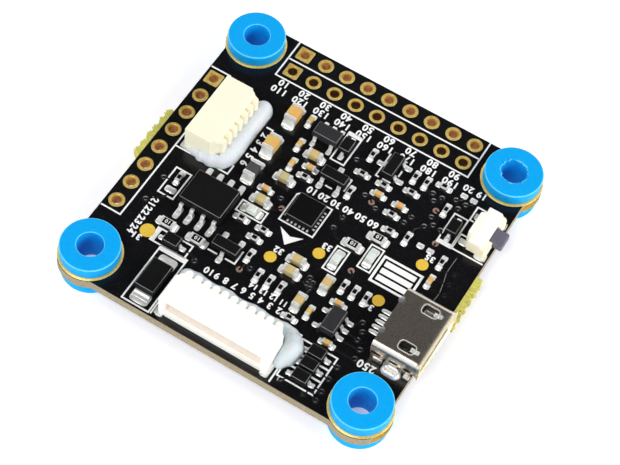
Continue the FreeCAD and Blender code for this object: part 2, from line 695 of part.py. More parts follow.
def underside_lands():
    """The lands of the chips on the underside."""
    small = place_all(lands(LAND_0402), UNDERSIDE_CAPACITOR_SITES)
    x, y = CRYSTAL_SITE
    corners = [block(x + sx * 1.25, y + sy * 0.95, TOP, 0.9, 0.8, LAND_T) for sx in (-1, 1) for sy in (-1, 1)]
    return [flipped(s) for s in small + corners]


# ---------------------------------------------------------------- assembly
def build_board():
    save("circuit_board", [circuit_board()])
    for name, (x, y) in hole_centres().items():
        save("grommet_" + name, [grommet(x, y)])
    rings = [eyelet(x, y, MOUNT_HOLE_R, EAR_R - 0.06, BARREL_T) for x, y in hole_centres().values()]
    save("mounting_hole_rings", rings)
    save("rear_outer_header_eyelets", header_eyelets(rear_header(REAR_OUTER_Y)))
    save("rear_inner_header_eyelets", header_eyelets(rear_header(REAR_INNER_Y)))
    save("left_header_eyelets", header_eyelets(left_header()))
    save("usb_leg_eyelets", [usb_leg_eyelet(x, y) for x, y in usb_leg_centres()])
    save("test_pads", [rod(x, y, TOP, r, PLATING_T) for x, y, r in TEST_PAD_SITES])
    save("solder_lands", component_lands() + underside_lands())


def build_sockets():
    kinds = (("front_socket", FRONT_SOCKET_WAYS, front_socket, front_glue),
             ("left_socket", LEFT_SOCKET_WAYS, left_socket, left_glue))
    obstacles = component_lands() + place_all(diode_leads() + [diode_body()], DIODE_SITES)
    obstacles += place_all([chip_body(SIZE_0402_RESISTOR)], RESISTOR_0402_SITES)
    obstacles += place_all(chip_ends(SIZE_0402_RESISTOR), RESISTOR_0402_SITES)
    obstacles += memory_chip()[1]
    for name, ways, put, glue in kinds:
        housing = put([socket_housing(ways)])
        contacts = put([socket_contact(x) for x in contact_offsets(ways)])
        tabs = put([socket_tab(ways, side) for side in (-1, 1)])
        save(name + "_housing", housing)
        save(name + "_contacts", contacts)
        save(name + "_solder_tabs", tabs)
        filled = [block_of(h) for h in housing]
        bead = glue(filled + contacts + tabs + obstacles)
        save(name + "_glue", [max(bead.Solids, key=lambda s: s.Volume)])


def block_of(shape):
    """The plain box round a shape."""
    b = shape.BoundBox
    return span(b.XMin, b.XMax, b.YMin, b.YMax, b.ZMin, b.ZMax)


def build_usb():
    save("usb_shell", [usb_shell()])
    save("usb_insulator", [usb_insulator()])
    save("usb_contacts", [usb_contact(n) for n in range(5)])


def build_switch():
    save("boot_switch_housing", [switch_housing()])
    save("boot_switch_cover", [switch_cover()])
    save("boot_switch_plunger", [switch_plunger()])
    save("boot_switch_dome", [switch_dome()])
    save("boot_switch_terminals", switch_terminals())


def build_chips():
    passives = (("small_resistor", SIZE_0402_RESISTOR, RESISTOR_0402_SITES),
                ("large_resistor", SIZE_0603_RESISTOR, RESISTOR_0603_SITES),
                ("small_capacitor", SIZE_0402_CAPACITOR, CAPACITOR_0402_SITES),
                ("medium_capacitor", SIZE_0603_CAPACITOR, CAPACITOR_0603_SITES),
                ("large_capacitor", SIZE_0805_CAPACITOR, CAPACITOR_0805_SITES),
                ("ferrite_bead", SIZE_0805_FERRITE, FERRITE_SITES))
    for name, size, sites in passives:
        save(name + "_bodies", place_all([chip_body(size)], sites))
        save(name + "_ends", place_all(chip_ends(size), sites))
    base, lens, ends = led_parts()
    save("led_bases", place_all([base], LED_SITES))
    save("led_lenses", place_all([lens], LED_SITES))
    save("led_ends", place_all(ends, LED_SITES))
    save("small_diode_bodies", place_all([diode_body()], DIODE_SITES))
    save("small_diode_leads", place_all(diode_leads(), DIODE_SITES))
    save("transistor_bodies", place_all([transistor_body()], TRANSISTOR_SITES))
    save("transistor_leads", place_all(transistor_leads(), TRANSISTOR_SITES))
    save("regulator_bodies", place_all([regulator_body()], REGULATOR_SITES))
    save("regulator_leads", place_all(regulator_leads(), REGULATOR_SITES))
    packages = (("input_diode", input_diode()), ("memory_chip", memory_chip()),
                ("motion_sensor", motion_sensor()), ("microcontroller", microcontroller()))
    for name, (body, leads) in packages:
        save(name + "_body", [body])
        save(name + "_leads", leads)
    save("crystal", [crystal()])
    under = [flipped(s) for s in place_all([chip_body(SIZE_0402_CAPACITOR)], UNDERSIDE_CAPACITOR_SITES)]
    under_ends = [flipped(s) for s in place_all(chip_ends(SIZE_0402_CAPACITOR), UNDERSIDE_CAPACITOR_SITES)]
    save("underside_capacitor_bodies", under)
    save("underside_capacitor_ends", under_ends)


build_board()
build_sockets()
build_usb()
build_switch()
build_chips()
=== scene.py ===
import math
import random

import bmesh
import bpy
from mathutils import Matrix, Quaternion, Vector, noise


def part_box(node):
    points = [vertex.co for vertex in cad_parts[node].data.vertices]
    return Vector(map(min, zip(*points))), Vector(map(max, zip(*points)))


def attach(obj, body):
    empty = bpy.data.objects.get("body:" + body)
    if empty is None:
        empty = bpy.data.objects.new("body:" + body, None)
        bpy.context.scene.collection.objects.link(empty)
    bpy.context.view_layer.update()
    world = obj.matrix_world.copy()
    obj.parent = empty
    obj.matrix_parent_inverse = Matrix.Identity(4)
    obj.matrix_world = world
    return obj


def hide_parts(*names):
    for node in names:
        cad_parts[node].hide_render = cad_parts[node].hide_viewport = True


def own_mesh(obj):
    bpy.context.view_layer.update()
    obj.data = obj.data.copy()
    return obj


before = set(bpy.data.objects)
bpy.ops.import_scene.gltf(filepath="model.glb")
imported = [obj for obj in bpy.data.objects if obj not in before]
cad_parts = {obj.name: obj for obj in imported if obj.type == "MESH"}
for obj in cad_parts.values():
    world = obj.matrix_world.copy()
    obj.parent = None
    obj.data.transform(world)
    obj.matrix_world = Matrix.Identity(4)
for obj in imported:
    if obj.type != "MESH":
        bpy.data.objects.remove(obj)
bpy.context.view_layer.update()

# The looks of a flight controller board. Shapes are built in millimetres and written out in metres.
# Places come from the CAD nodes; sizes given here are those of printing, solder and small detail.
MM = 0.001
BODY = "board"


# ---------------------------------------------------------------- reading the CAD frame
def box_of(node):
    """The lowest and highest corner of a CAD node, in millimetres."""
    return [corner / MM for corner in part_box(node)]


def welded(node):
    """A mesh of a CAD node in millimetres, with its corners joined."""
    bm = bmesh.new()
    bm.from_mesh(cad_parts[node].data)
    bmesh.ops.scale(bm, vec=(1 / MM,) * 3, verts=bm.verts)
    bmesh.ops.remove_doubles(bm, verts=bm.verts, dist=0.0005)
    return bm


def limits(points):
    low = Vector(min(p[axis] for p in points) for axis in range(3))
    high = Vector(max(p[axis] for p in points) for axis in range(3))
    return low, high


def solids(node):
    """The lowest and highest corner of each separate solid of a CAD node."""
    bm = welded(node)
    seen, boxes = set(), []
    for first in bm.verts:
        if first in seen:
            continue
        seen.add(first)
        waiting, group = [first], []
        while waiting:
            vert = waiting.pop()
            group.append(vert.co.copy())
            for edge in vert.link_edges:
                other = edge.other_vert(vert)
                if other not in seen:
                    seen.add(other)
                    waiting.append(other)
        boxes.append(limits(group))
    bm.free()
    return sorted(boxes, key=lambda box: tuple(round(c, 3) for c in box[0]))


def middle(box):
    return (box[0] + box[1]) / 2


def linked(name, data):
    """A new object in the scene."""
    made = bpy.data.objects.new(name, data)
    bpy.context.scene.collection.objects.link(made)
    return made


BOARD_LOW, BOARD_HIGH = box_of("circuit_board")
UNDER, TOP = BOARD_LOW.z, BOARD_HIGH.z
EDGE_X = 17.65      # the routed side edges; only the torn stubs stand further out
INK_T, INK_W = 0.02, 0.17
TRACK_T, TRACK_W = 0.03, 0.22
PAD_T = 0.04


# ---------------------------------------------------------------- materials
class Look:
    """A node material whose colour, roughness and relief are drawn from noise in object space."""

    def __init__(self, name, **constants):
        self.material = bpy.data.materials.new(name)
        self.material.use_nodes = True
        self.tree = self.material.node_tree
        self.shader = self.tree.nodes["Principled BSDF"]
        for socket, value in constants.items():
            self.shader.inputs[socket.replace("_", " ")].default_value = value
        self.place = self.add("ShaderNodeTexCoord").outputs["Object"]

    def add(self, kind, **settings):
        node = self.tree.nodes.new(kind)
        for name, value in settings.items():
            setattr(node, name, value)
        return node

    def feed(self, socket, value):
        if isinstance(value, bpy.types.NodeSocket):
            self.tree.links.new(value, socket)
        elif isinstance(value, tuple) and len(value) == 3 and len(socket.default_value) == 4:
            socket.default_value = (*value, 1.0)
        else:
            socket.default_value = value

    def coordinates(self, size, stretch=(1, 1, 1)):
        mapping = self.add("ShaderNodeMapping")
        self.feed(mapping.inputs["Vector"], self.place)
        mapping.inputs["Scale"].default_value = [1 / (size * MM * s) for s in stretch]
        return mapping.outputs["Vector"]

    def noise(self, size, detail=3.0, stretch=(1, 1, 1), distortion=0.0):
        """Noise with features of this size in millimetres."""
        node = self.add("ShaderNodeTexNoise")
        self.feed(node.inputs["Vector"], self.coordinates(size, stretch))
        node.inputs["Detail"].default_value = detail
        node.inputs["Distortion"].default_value = distortion
        return node.outputs["Fac"]

    def spread(self, value, low, high, to_low, to_high):
        """Maps a stretch of values onto another, clamped at both ends."""
        node = self.add("ShaderNodeMapRange")
        numbers = (low, high, to_low, to_high)
        self.feed(node.inputs["Value"], value)
        for name, number in zip(("From Min", "From Max", "To Min", "To Max"), numbers):
            node.inputs[name].default_value = number
        return node.outputs["Result"]

    def mix(self, factor, first, second):
        node = self.add("ShaderNodeMix", data_type="RGBA")
        self.feed(node.inputs["Factor"], factor)
        self.feed(node.inputs[6], first)
        self.feed(node.inputs[7], second)
        return node.outputs[2]

    def edges(self, low, high):
        """Grows from 0 to 1 along convex edges."""
        point = self.add("ShaderNodeNewGeometry").outputs["Pointiness"]
        return self.spread(point, low, high, 0.0, 1.0)

    def relief(self, height, depth, normal=None):
        """Bump of this depth in millimetres."""
        node = self.add("ShaderNodeBump")
        node.inputs["Strength"].default_value = 1.0
        node.inputs["Distance"].default_value = depth * MM
        self.feed(node.inputs["Height"], height)
        if normal:
            self.feed(node.inputs["Normal"], normal)
        return node.outputs["Normal"]

    def patches(self, low, high, most, size, *shape):
        """Patches of noise of this size: nothing where it is below low, most where it is above high."""
        return self.spread(self.noise(size, *shape), low, high, 0.0, most)

    def colour(self, value):
        self.feed(self.shader.inputs["Base Color"], value)

    def rough(self, low, high, size, *shape):
        """Roughness that drifts between two values, in patches of this size."""
        value = self.spread(self.noise(size, *shape), 0.3, 0.7, low, high)
        self.feed(self.shader.inputs["Roughness"], value)

    def bumps(self, depth, size, *shape, over=None):
        """Bumps of this depth and size in millimetres, over other relief if there is any."""
        self.feed(self.shader.inputs["Normal"], self.relief(self.noise(size, *shape), depth, over))


def surface(name, dark, light, rough, patch=1.5, grain=0.1, relief=0.004, pale_edge=None, **constants):
    """A mottled, slightly uneven surface. pale_edge is the colour that its convex edges turn to."""
    look = Look(name, **constants)
    tint = look.mix(look.patches(0.3, 0.7, 1.0, patch), dark, light)
    if pale_edge:
        tint = look.mix(look.edges(0.52, 0.6), tint, pale_edge)
    look.colour(tint)
    look.rough(*rough, grain * 5)
    look.bumps(relief, grain)
    return look.material


def ceramic_look(name, dark, light, other_dark, other_light):
    """Fired ceramic whose colour differs from one chip to the next."""
    look = Look(name)
    mottle = look.noise(0.35)
    first, second = look.mix(mottle, dark, light), look.mix(mottle, other_dark, other_light)
    look.colour(look.mix(look.patches(0.5, 0.56, 1.0, 4.0, 1.0), first, second))
    look.rough(0.4, 0.6, 0.25)
    look.bumps(0.004, 0.05)
    return look.material


def mask_look():
    """Black solder mask: glossy, a little uneven, with fine pits and dust."""
    look = Look("black_solder_mask", IOR=1.45, Specular_IOR_Level=0.35)
    base = look.mix(look.noise(3.0), (0.0035, 0.0035, 0.004), (0.008, 0.008, 0.009))
    dust = look.patches(0.69, 0.75, 0.6, 0.14, 2.0)
    look.colour(look.mix(dust, base, (0.30, 0.30, 0.31)))
    look.rough(0.14, 0.26, 0.7)
    look.bumps(0.0015, 0.07, over=look.relief(look.noise(0.9), 0.01))
    return look.material


def laminate_look():
    """The routed edge of the board: layers of glass cloth in pale khaki epoxy."""
    look = Look("laminate_edge")
    layers = look.patches(0.35, 0.65, 1.0, 0.16, 3.0, (9, 9, 1), 0.4)
    cloth = look.mix(layers, (0.17, 0.135, 0.08), (0.37, 0.31, 0.20))
    fibres = look.patches(0.5, 0.75, 0.6, 0.05, 2.0, (1, 1, 6))
    woven = look.mix(fibres, cloth, (0.45, 0.41, 0.30))
    look.colour(look.mix(look.patches(0.45, 0.65, 0.6, 1.8), woven, (0.42, 0.31, 0.13)))
    look.rough(0.55, 0.8, 0.3)
    look.bumps(0.02, 0.08, 3.0, (3, 3, 1))
    return look.material


def torn_look():
    """Torn laminate: bright yellow-green resin with pale broken fibres."""
    look = Look("torn_laminate")
    resin = look.mix(look.noise(0.5), (0.46, 0.42, 0.03), (0.78, 0.72, 0.12))
    fibres = look.patches(0.5, 0.7, 0.8, 0.06, 3.0, (3, 1, 1))
    look.colour(look.mix(fibres, resin, (0.85, 0.82, 0.55)))
    look.rough(0.6, 0.9, 0.2)
    look.bumps(0.03, 0.06, 4.0)
    return look.material


def metal_look(name, dark, light, rough, grain, relief, metallic=1.0, streak=(1, 1, 1)):
    """Bare or plated metal. streak draws its grain out along one direction."""
    look = Look(name, Metallic=metallic)
    look.colour(look.mix(look.patches(0.3, 0.7, 1.0, grain * 8, 4.0), dark, light))
    look.rough(*rough, grain, 4.0, streak)
    look.bumps(relief, grain, 4.0, streak)
    return look.material


def rubber_look(name, dark, light, gloss):
    """Azure silicone: soft sheen, faint moulding texture and a few paler specks."""
    look = Look(name, Subsurface_Weight=0.06, Subsurface_Scale=0.3 * MM, Specular_IOR_Level=gloss)
    look.shader.inputs["Subsurface Radius"].default_value = (0.15, 0.7, 1.0)
    body = look.mix(look.noise(2.2), dark, light)
    look.colour(look.mix(look.patches(0.72, 0.76, 0.5, 0.3, 2.0), body, (0.2, 0.65, 0.95)))
    look.rough(0.46, 0.64, 0.6)
    look.bumps(0.03, 1.4, over=look.relief(look.noise(0.12, 4.0), 0.006))
    return look.material


def resin_look(name, dark, light, rough, clear, patch=0.5):
    """Glue or lens resin that lets some light through."""
    look = Look(name, Transmission_Weight=clear, IOR=1.46, Subsurface_Weight=0.3,
                Subsurface_Scale=0.5 * MM)
    look.colour(look.mix(look.noise(patch), dark, light))
    look.rough(*rough, 0.4)
    look.bumps(0.05, 0.5, 4.0, (1, 1, 1), 0.6)
    return look.material


def epoxy_look(name, dark, light):
    """Moulding compound: sand-blasted and matte, with a few paler scuffs."""
    look = Look(name, IOR=1.5, Specular_IOR_Level=0.08)
    scuffs = look.patches(0.66, 0.74, 0.25, 0.1, 3.0, (3, 1, 1))
    base = look.mix(look.noise(0.9), dark, light)
    look.colour(look.mix(scuffs, base, tuple(c * 6 + 0.05 for c in light)))
    look.rough(0.4, 0.6, 0.25)
    look.bumps(0.003, 0.045, 2.0)
    return look.material


def usb_look():
    """Pewter-coloured plated steel: fine diagonal scratches, warm tarnish and a few pale specks."""
    look = Look("pewter_shell", Metallic=1.0)
    tint = look.mix(look.noise(0.5, 4.0), (0.50, 0.45, 0.41), (0.70, 0.64, 0.58))
    tint = look.mix(look.patches(0.42, 0.68, 0.7, 1.6, 4.0), tint, (0.58, 0.48, 0.32))
    tint = look.mix(look.patches(0.60, 0.74, 0.5, 0.16, 5.0, (9, 1, 1), 0.3), tint, (0.85, 0.80, 0.74))
    look.colour(look.mix(look.patches(0.74, 0.78, 0.8, 0.11, 2.0), tint, (0.75, 0.70, 0.60)))
    look.rough(0.24, 0.38, 0.2, 4.0, (6, 1, 1))
    look.bumps(0.0015, 0.09, 4.0, (8, 1, 1))
    return look.material


def plunger_look():
    """Grey-violet nylon with a coarse mottled skin."""
    look = Look("grey_plunger")
    mottle = look.patches(0.35, 0.65, 1.0, 0.22, 4.0, (1, 1, 1), 0.8)
    look.colour(look.mix(mottle, (0.045, 0.042, 0.06), (0.19, 0.18, 0.24)))
    look.rough(0.4, 0.6, 0.3)
    look.bumps(0.02, 0.15)
    return look.material


# look: material name, darker and lighter colour, roughness, grain and relief in mm, metallic, streak
METALS = {
    "gold": ("matte_gold", (0.74, 0.54, 0.15), (0.98, 0.78, 0.27), (0.35, 0.5), 0.12, 0.003, 0.75),
    "pad_gold": ("flat_gold", (0.92, 0.58, 0.05), (1.0, 0.68, 0.08), (0.45, 0.6), 0.12, 0.002, 0.35),
    # the dish round each header hole: a darker, more orange copy of the pad gold, painted shade on the
    # slope
    "dish_gold": ("dished_gold", (0.62, 0.34, 0.04), (0.95, 0.62, 0.12), (0.3, 0.45), 0.12, 0.003, 0.6),
    # the insides of the plated holes: the plating painted brown, and near black for the inner row, as
    # painted shade in the holes
    "barrel": ("plated_barrel", (0.42, 0.19, 0.05), (0.72, 0.42, 0.18), (0.3, 0.5), 0.2, 0.004, 0.5),
    "dark_barrel": ("shaded_barrel", (0.05, 0.02, 0.005), (0.16, 0.07, 0.02), (0.3, 0.5), 0.2, 0.004,
                    0.5),
    "copper": ("tarnished_copper", (0.26, 0.15, 0.10), (0.55, 0.38, 0.30), (0.4, 0.6), 0.1, 0.004, 0.6),
    "tin": ("bright_solder", (0.80, 0.80, 0.77), (0.98, 0.98, 0.95), (0.22, 0.42), 0.16, 0.006, 0.5),
    "lead": ("tinned_lead", (0.76, 0.76, 0.73), (0.94, 0.94, 0.91), (0.26, 0.42), 0.1, 0.003, 0.55),
    # the flared mouth of the USB shell: the same steel painted warmer and brighter, a painted highlight
    # on the lip
    "flare": ("flared_mouth", (0.62, 0.54, 0.34), (0.86, 0.78, 0.56), (0.24, 0.38), 0.12, 0.002, 0.85),
    "nickel": ("nickel_can", (0.5, 0.49, 0.46), (0.66, 0.65, 0.62), (0.22, 0.36), 0.08, 0.002, 1.0,
               (6, 1, 1)),
    "spring": ("spring_steel", (0.45, 0.45, 0.48), (0.62, 0.62, 0.66), (0.25, 0.4), 0.1, 0.002, 0.85),
}
# look: material name, darker and lighter colour, roughness, patches and grain and relief in mm
PLAIN = {
    # a grey line along the edge of the copper plane: a painted highlight on the mask step
    "step": ("rubbed_mask_step", (0.02, 0.02, 0.022), (0.40, 0.40, 0.41), (0.15, 0.3), 0.2),
    "ink": ("white_ink", (0.86, 0.86, 0.84), (0.97, 0.97, 0.96), (0.5, 0.7), 0.4, 0.06, 0.003),
    # the inside of the socket mouths: the same nylon tinted peach as painted shade
    "peach": ("ivory_nylon_inside", (0.93, 0.84, 0.74), (0.97, 0.91, 0.84), (0.45, 0.6), 2.5, 0.09,
              0.004),
    "nylon": ("black_nylon", (0.015, 0.015, 0.016), (0.03, 0.03, 0.032), (0.4, 0.6)),
    # the sloped edges of moulded packages: painted lighter, a painted highlight
    "scuffed": ("scuffed_epoxy_edge", (0.05, 0.05, 0.052), (0.32, 0.32, 0.33), (0.4, 0.6), 0.25),
    "alumina": ("white_alumina", (0.76, 0.76, 0.73), (0.88, 0.88, 0.86), (0.4, 0.6), 0.3, 0.05, 0.004),
    "ferrite": ("grey_ferrite", (0.03, 0.03, 0.033), (0.07, 0.07, 0.075), (0.5, 0.7), 0.3, 0.05, 0.006),
    "white": ("white_resin", (0.76, 0.80, 0.74), (0.88, 0.92, 0.86), (0.4, 0.55), 0.4),
    "pale_green": ("pale_green_print", (0.45, 0.68, 0.50), (0.60, 0.80, 0.62), (0.4, 0.6), 0.2),
}
EPOXIES = {
    "epoxy": ("black_epoxy", (0.003, 0.003, 0.0035), (0.008, 0.008, 0.0085)),
    "sensor_epoxy": ("sensor_epoxy", (0.0015, 0.0015, 0.002), (0.004, 0.004, 0.0045)),
    "grey_epoxy": ("grey_epoxy", (0.02, 0.02, 0.021), (0.036, 0.036, 0.038)),
}
# look: material name, darker and lighter colour of one batch of chips, and of the other
CERAMICS = {
    "amber": ("amber_ceramic", (0.56, 0.35, 0.07), (0.80, 0.56, 0.17),
              (0.70, 0.32, 0.06), (0.86, 0.46, 0.14)),
    "tan": ("tan_ceramic", (0.42, 0.35, 0.15), (0.60, 0.53, 0.27),
            (0.52, 0.36, 0.12), (0.74, 0.52, 0.22)),
}
RUBBERS = {
    "rubber": ("azure_silicone", (0.0, 0.33, 0.77), (0.0, 0.39, 0.87), 0.12),
    # the rounded rims of the grommets: the same silicone painted lighter, a painted highlight
    "rubber_rim_highlight": ("rubbed_silicone", (0.05, 0.50, 0.88), (0.16, 0.62, 0.95), 0.4),
}
RESINS = {
    "lens": ("milky_lens", (0.84, 0.92, 0.82), (0.97, 1.0, 0.95), (0.08, 0.2), 0.2, 0.25),
    "clear_glue": ("cloudy_glue", (0.66, 0.74, 0.78), (0.86, 0.92, 0.95), (0.12, 0.28), 0.2, 1.1),
    "white_glue": ("white_glue", (0.70, 0.75, 0.81), (0.88, 0.91, 0.94), (0.1, 0.25), 0.15, 1.1),
}
LOOKS = {
    "mask": mask_look(),
    "laminate": laminate_look(),
    "torn": torn_look(),
    "shell": usb_look(),
    "plunger": plunger_look(),
    "via": surface("tented_via", (0.004, 0.004, 0.0045), (0.014, 0.014, 0.015), (0.12, 0.22),
                   0.3, 0.1, 0.001, Specular_IOR_Level=1.0, IOR=2.4),
    "glaze": surface("black_glaze", (0.003,) * 3, (0.008,) * 3, (0.18, 0.3), 0.4,
                     Specular_IOR_Level=0.25),
    "ivory": surface("ivory_nylon", (0.86, 0.83, 0.72), (0.92, 0.90, 0.80), (0.42, 0.6),
                     2.5, 0.09, 0.004, (0.95, 0.94, 0.88),
                     Subsurface_Weight=0.15, Subsurface_Scale=0.4 * MM),
    "cream": surface("cream_nylon", (0.86, 0.76, 0.45), (0.93, 0.84, 0.56), (0.42, 0.6),
                     2.5, 0.09, 0.004, (0.94, 0.90, 0.70),
                     Subsurface_Weight=0.1, Subsurface_Scale=0.3 * MM),
}
for maker, table in ((metal_look, METALS), (surface, PLAIN), (epoxy_look, EPOXIES),
                     (ceramic_look, CERAMICS), (rubber_look, RUBBERS), (resin_look, RESINS)):
    LOOKS.update((look, maker(*row)) for look, row in table.items())


# ---------------------------------------------------------------- building meshes
class Shape:
    """A mesh under construction, in millimetres, with any number of looks."""

    def __init__(self):
        self.bm = bmesh.new()
        self.looks = []

    def index(self, look):
        if look not in self.looks:
            self.looks.append(look)
        return self.looks.index(look)

    def face(self, verts, look):
        try:
            made = self.bm.faces.new(verts)
        except ValueError:
            return None
        made.material_index = self.index(look)
        return made

    def absorb(self, bm, look=None):
        """Takes in another mesh, in one look, and frees it."""
        mesh = bpy.data.meshes.new("part")
        bm.to_mesh(mesh)
        bm.free()
        if look is not None:
            self.index(look)
            for polygon in mesh.polygons:
                polygon.material_index = self.index(look)
        self.bm.from_mesh(mesh)
        bpy.data.meshes.remove(mesh)

    def lathe(self, x, y, profile, look, steps=48, outer=None, cores=()):
        """Turns a closed r, z profile about an upright axis. outer(angle, r) scales a radius there.
        cores are pairs of a radius and the look of the faces inside it, smallest first."""
        rings = []
        for step in range(steps):
            angle = 2 * math.pi * (step + 0.5) / steps
            ring = []
            for r, z in profile:
                reach = r * outer(angle, r) if outer else r
                point = (x + reach * math.cos(angle), y + reach * math.sin(angle), z)
                ring.append(self.bm.verts.new(point))
            rings.append(ring)
        count = len(profile)
        for step in range(steps):
            here, there = rings[step], rings[(step + 1) % steps]
            for n in range(count):
                m = (n + 1) % count
                reach = max(profile[n][0], profile[m][0])
                inner = next((core_look for radius, core_look in cores if reach < radius), look)
                self.face((here[n], there[n], there[m], here[m]), inner)

    def loft(self, rings, look, closed=True):
        """Joins rings of points of one length, and caps the first and the last."""
        made = [[self.bm.verts.new(p) for p in ring] for ring in rings]
        count = len(made[0])
        for low, high in zip(made, made[1:]):
            for n in range(count):
                m = (n + 1) % count
                self.face((low[n], low[m], high[m], high[n]), look)
        if closed:
            self.face(list(reversed(made[0])), look)
            self.face(made[-1], look)

    def ribbon(self, points, width, z, height, look, closed=False, draft=0.0):
        """A flat strip along a path, its corners mitred; draft narrows its top."""
        left, right = offset_path(points, width / 2, closed)
        left_top, right_top = offset_path(points, width / 2 - draft, closed)
        rings = []
        for a, b, c, d in zip(right, left, left_top, right_top):
            rings.append([(*a, z), (*b, z), (*c, z + height), (*d, z + height)])
        if closed:
            rings.append(rings[0])
        self.loft(rings, look, not closed)

    def block(self, low, high, look, radius=0.04, steps=2):
        self.absorb(brick(low, high, radius, steps), look)

    def finish(self, name, slot, smooth=35.0, node=None, body=BODY):
        """Writes the mesh out as a piece that rides on a body and may stand for a CAD node."""
        bmesh.ops.remove_doubles(self.bm, verts=self.bm.verts, dist=1e-5)
        bmesh.ops.recalc_face_normals(self.bm, faces=self.bm.faces)
        bmesh.ops.scale(self.bm, vec=(MM,) * 3, verts=self.bm.verts)
        mesh = bpy.data.meshes.new(name)
        self.bm.to_mesh(mesh)
        self.bm.free()
        if "custom_normal" in mesh.attributes:
            mesh.attributes.remove(mesh.attributes["custom_normal"])
        for look in self.looks:
            mesh.materials.append(LOOKS[look])
        piece = linked(name, mesh)
        mesh.shade_smooth()
        mesh.set_sharp_from_angle(angle=math.radians(smooth))
        piece.modifiers.new("weighted_normals", "WEIGHTED_NORMAL").keep_sharp = True
        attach(piece, body)
        if node:
            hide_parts(node)
        return piece

    def stand_for(self, node, slot, smooth=35.0, body=BODY):
        """Finishes the mesh as the piece that stands for a CAD node."""
        return self.finish(node + "_finished", slot, smooth, node, body)


def offset_path(points, reach, closed):
    """The left and right edges of a strip along a path, with mitred corners."""
    path = [Vector(p) for p in points]
    count = len(path)
    left, right = [], []
    for n, here in enumerate(path):
        before = path[n - 1] if n or closed else None
        after = path[(n + 1) % count] if n < count - 1 or closed else None
        into = (here - before).normalized() if before is not None else None
        out = (after - here).normalized() if after is not None else None
        tangent = ((into or out) + (out or into)).normalized()
        side = Vector((-tangent.y, tangent.x))
        one = out or into
        square = Vector((-one.y, one.x))
        stretch = 1 / max(0.4, side.dot(square))
        left.append(here + side * reach * stretch)
        right.append(here - side * reach * stretch)
    return left, right


def rounded(bm, radius, steps=2, sharp=25.0, join=True):
    """Rounds over the sharp edges of a mesh, if join after joining its flat triangles."""
    if join:
        bmesh.ops.dissolve_limit(bm, angle_limit=math.radians(1.0), verts=bm.verts, edges=bm.edges)
    edges = []
    for edge in bm.edges:
        if len(edge.link_faces) == 2 and edge.calc_face_angle() > math.radians(sharp):
            edges.append(edge)
    bmesh.ops.bevel(bm, geom=edges, offset=radius, segments=steps, profile=0.5,
                    affect="EDGES", clamp_overlap=True)
    return bm


def brick(low, high, radius=0.04, steps=2, draft=0.0):
    """A block with rounded edges; draft pulls its top in on all sides."""
    bm = bmesh.new()
    corners = []
    for z, pull in ((low[2], 0.0), (high[2], draft)):
        for x, y in ((0, 0), (1, 0), (1, 1), (0, 1)):
            px = (low[0] + pull, high[0] - pull)[x]
            py = (low[1] + pull, high[1] - pull)[y]
            corners.append(bm.verts.new((px, py, z)))
    for ring in ((3, 2, 1, 0), (4, 5, 6, 7), (0, 1, 5, 4), (1, 2, 6, 5), (2, 3, 7, 6), (3, 0, 4, 7)):
        bm.faces.new([corners[n] for n in ring])
    return rounded(bm, radius, steps)


def rounded_copy(node, look, slot, radius=0.03, steps=2, body=BODY):
    """A piece that stands for a CAD node: the same solids with their edges rounded over."""
    shape = Shape()
    shape.absorb(rounded(welded(node), radius, steps), look)
    return shape.stand_for(node, slot, body=body)


def as_object(bm):
    mesh = bpy.data.meshes.new("operand")
    bm.to_mesh(mesh)
    bm.free()
    return linked("operand", mesh)


def carve(block, cutters):
    """The first mesh with every cutter taken out of it."""
    solid = as_object(block)
    tools = [as_object(cutter) for cutter in cutters]
    for tool in tools:
        cut = solid.modifiers.new("cut", "BOOLEAN")
        cut.operation, cut.solver, cut.object = "DIFFERENCE", "EXACT", tool
    graph = bpy.context.evaluated_depsgraph_get()
    mesh = bpy.data.meshes.new_from_object(solid.evaluated_get(graph))
    result = bmesh.new()
    result.from_mesh(mesh)
    for holder in [solid, *tools]:
        bpy.data.objects.remove(holder)
    bpy.data.meshes.remove(mesh)
    return result


def prism(points, z0, z1):
    """A plain upright prism over an outline of x, y points."""
    bm = bmesh.new()
    low = [bm.verts.new((x, y, z0)) for x, y in points]
    high = [bm.verts.new((x, y, z1)) for x, y in points]
    bm.faces.new(list(reversed(low)))
    bm.faces.new(high)
    for n in range(len(points)):
        m = (n + 1) % len(points)
        bm.faces.new((low[n], low[m], high[m], high[n]))
    return bm


def oblong(x, y, length, width, steps=8):
    """The outline of a slot with round ends, its length along X."""
    reach = (length - width) / 2
    near_end = arc(x - reach, y, width / 2, width / 2, 90, 270, steps)
    return arc(x + reach, y, width / 2, width / 2, -90, 90, steps) + near_end


def window(x, y, length, width, corner):
    """An outline with four round corners, its length along X."""
    points = []
    for n, (side_x, side_y) in enumerate(((1, -1), (1, 1), (-1, 1), (-1, -1))):
        centre_x, centre_y = x + side_x * (length / 2 - corner), y + side_y * (width / 2 - corner)
        points += arc(centre_x, centre_y, corner, corner, 90 * n - 90, 90 * n, 5)
    return points


def arc(x, y, radius_x, radius_y, start, end, steps):
    """Points along part of an ellipse, angles in degrees."""
    points = []
    for step in range(steps + 1):
        angle = math.radians(start + (end - start) * step / steps)
        points.append((x + radius_x * math.cos(angle), y + radius_y * math.sin(angle)))
    return points


def moved(bm, x, y, angle=0.0):
    """Turns a mesh about Z and then moves it."""
    matrix = Matrix.Translation((x, y, 0)) @ Matrix.Rotation(math.radians(angle), 4, "Z")
    bmesh.ops.transform(bm, matrix=matrix, verts=bm.verts)
    return bm


# ---------------------------------------------------------------- camera, light and floor
CAMERA_AIM = Vector((1.39, -1.49, TOP))
CAMERA_DISTANCE = 184.35
CAMERA_AZIMUTH = 23.84
CAMERA_ELEVATION = 58.365
CAMERA_ROLL = 8.39
CAMERA_LENS = 108.58


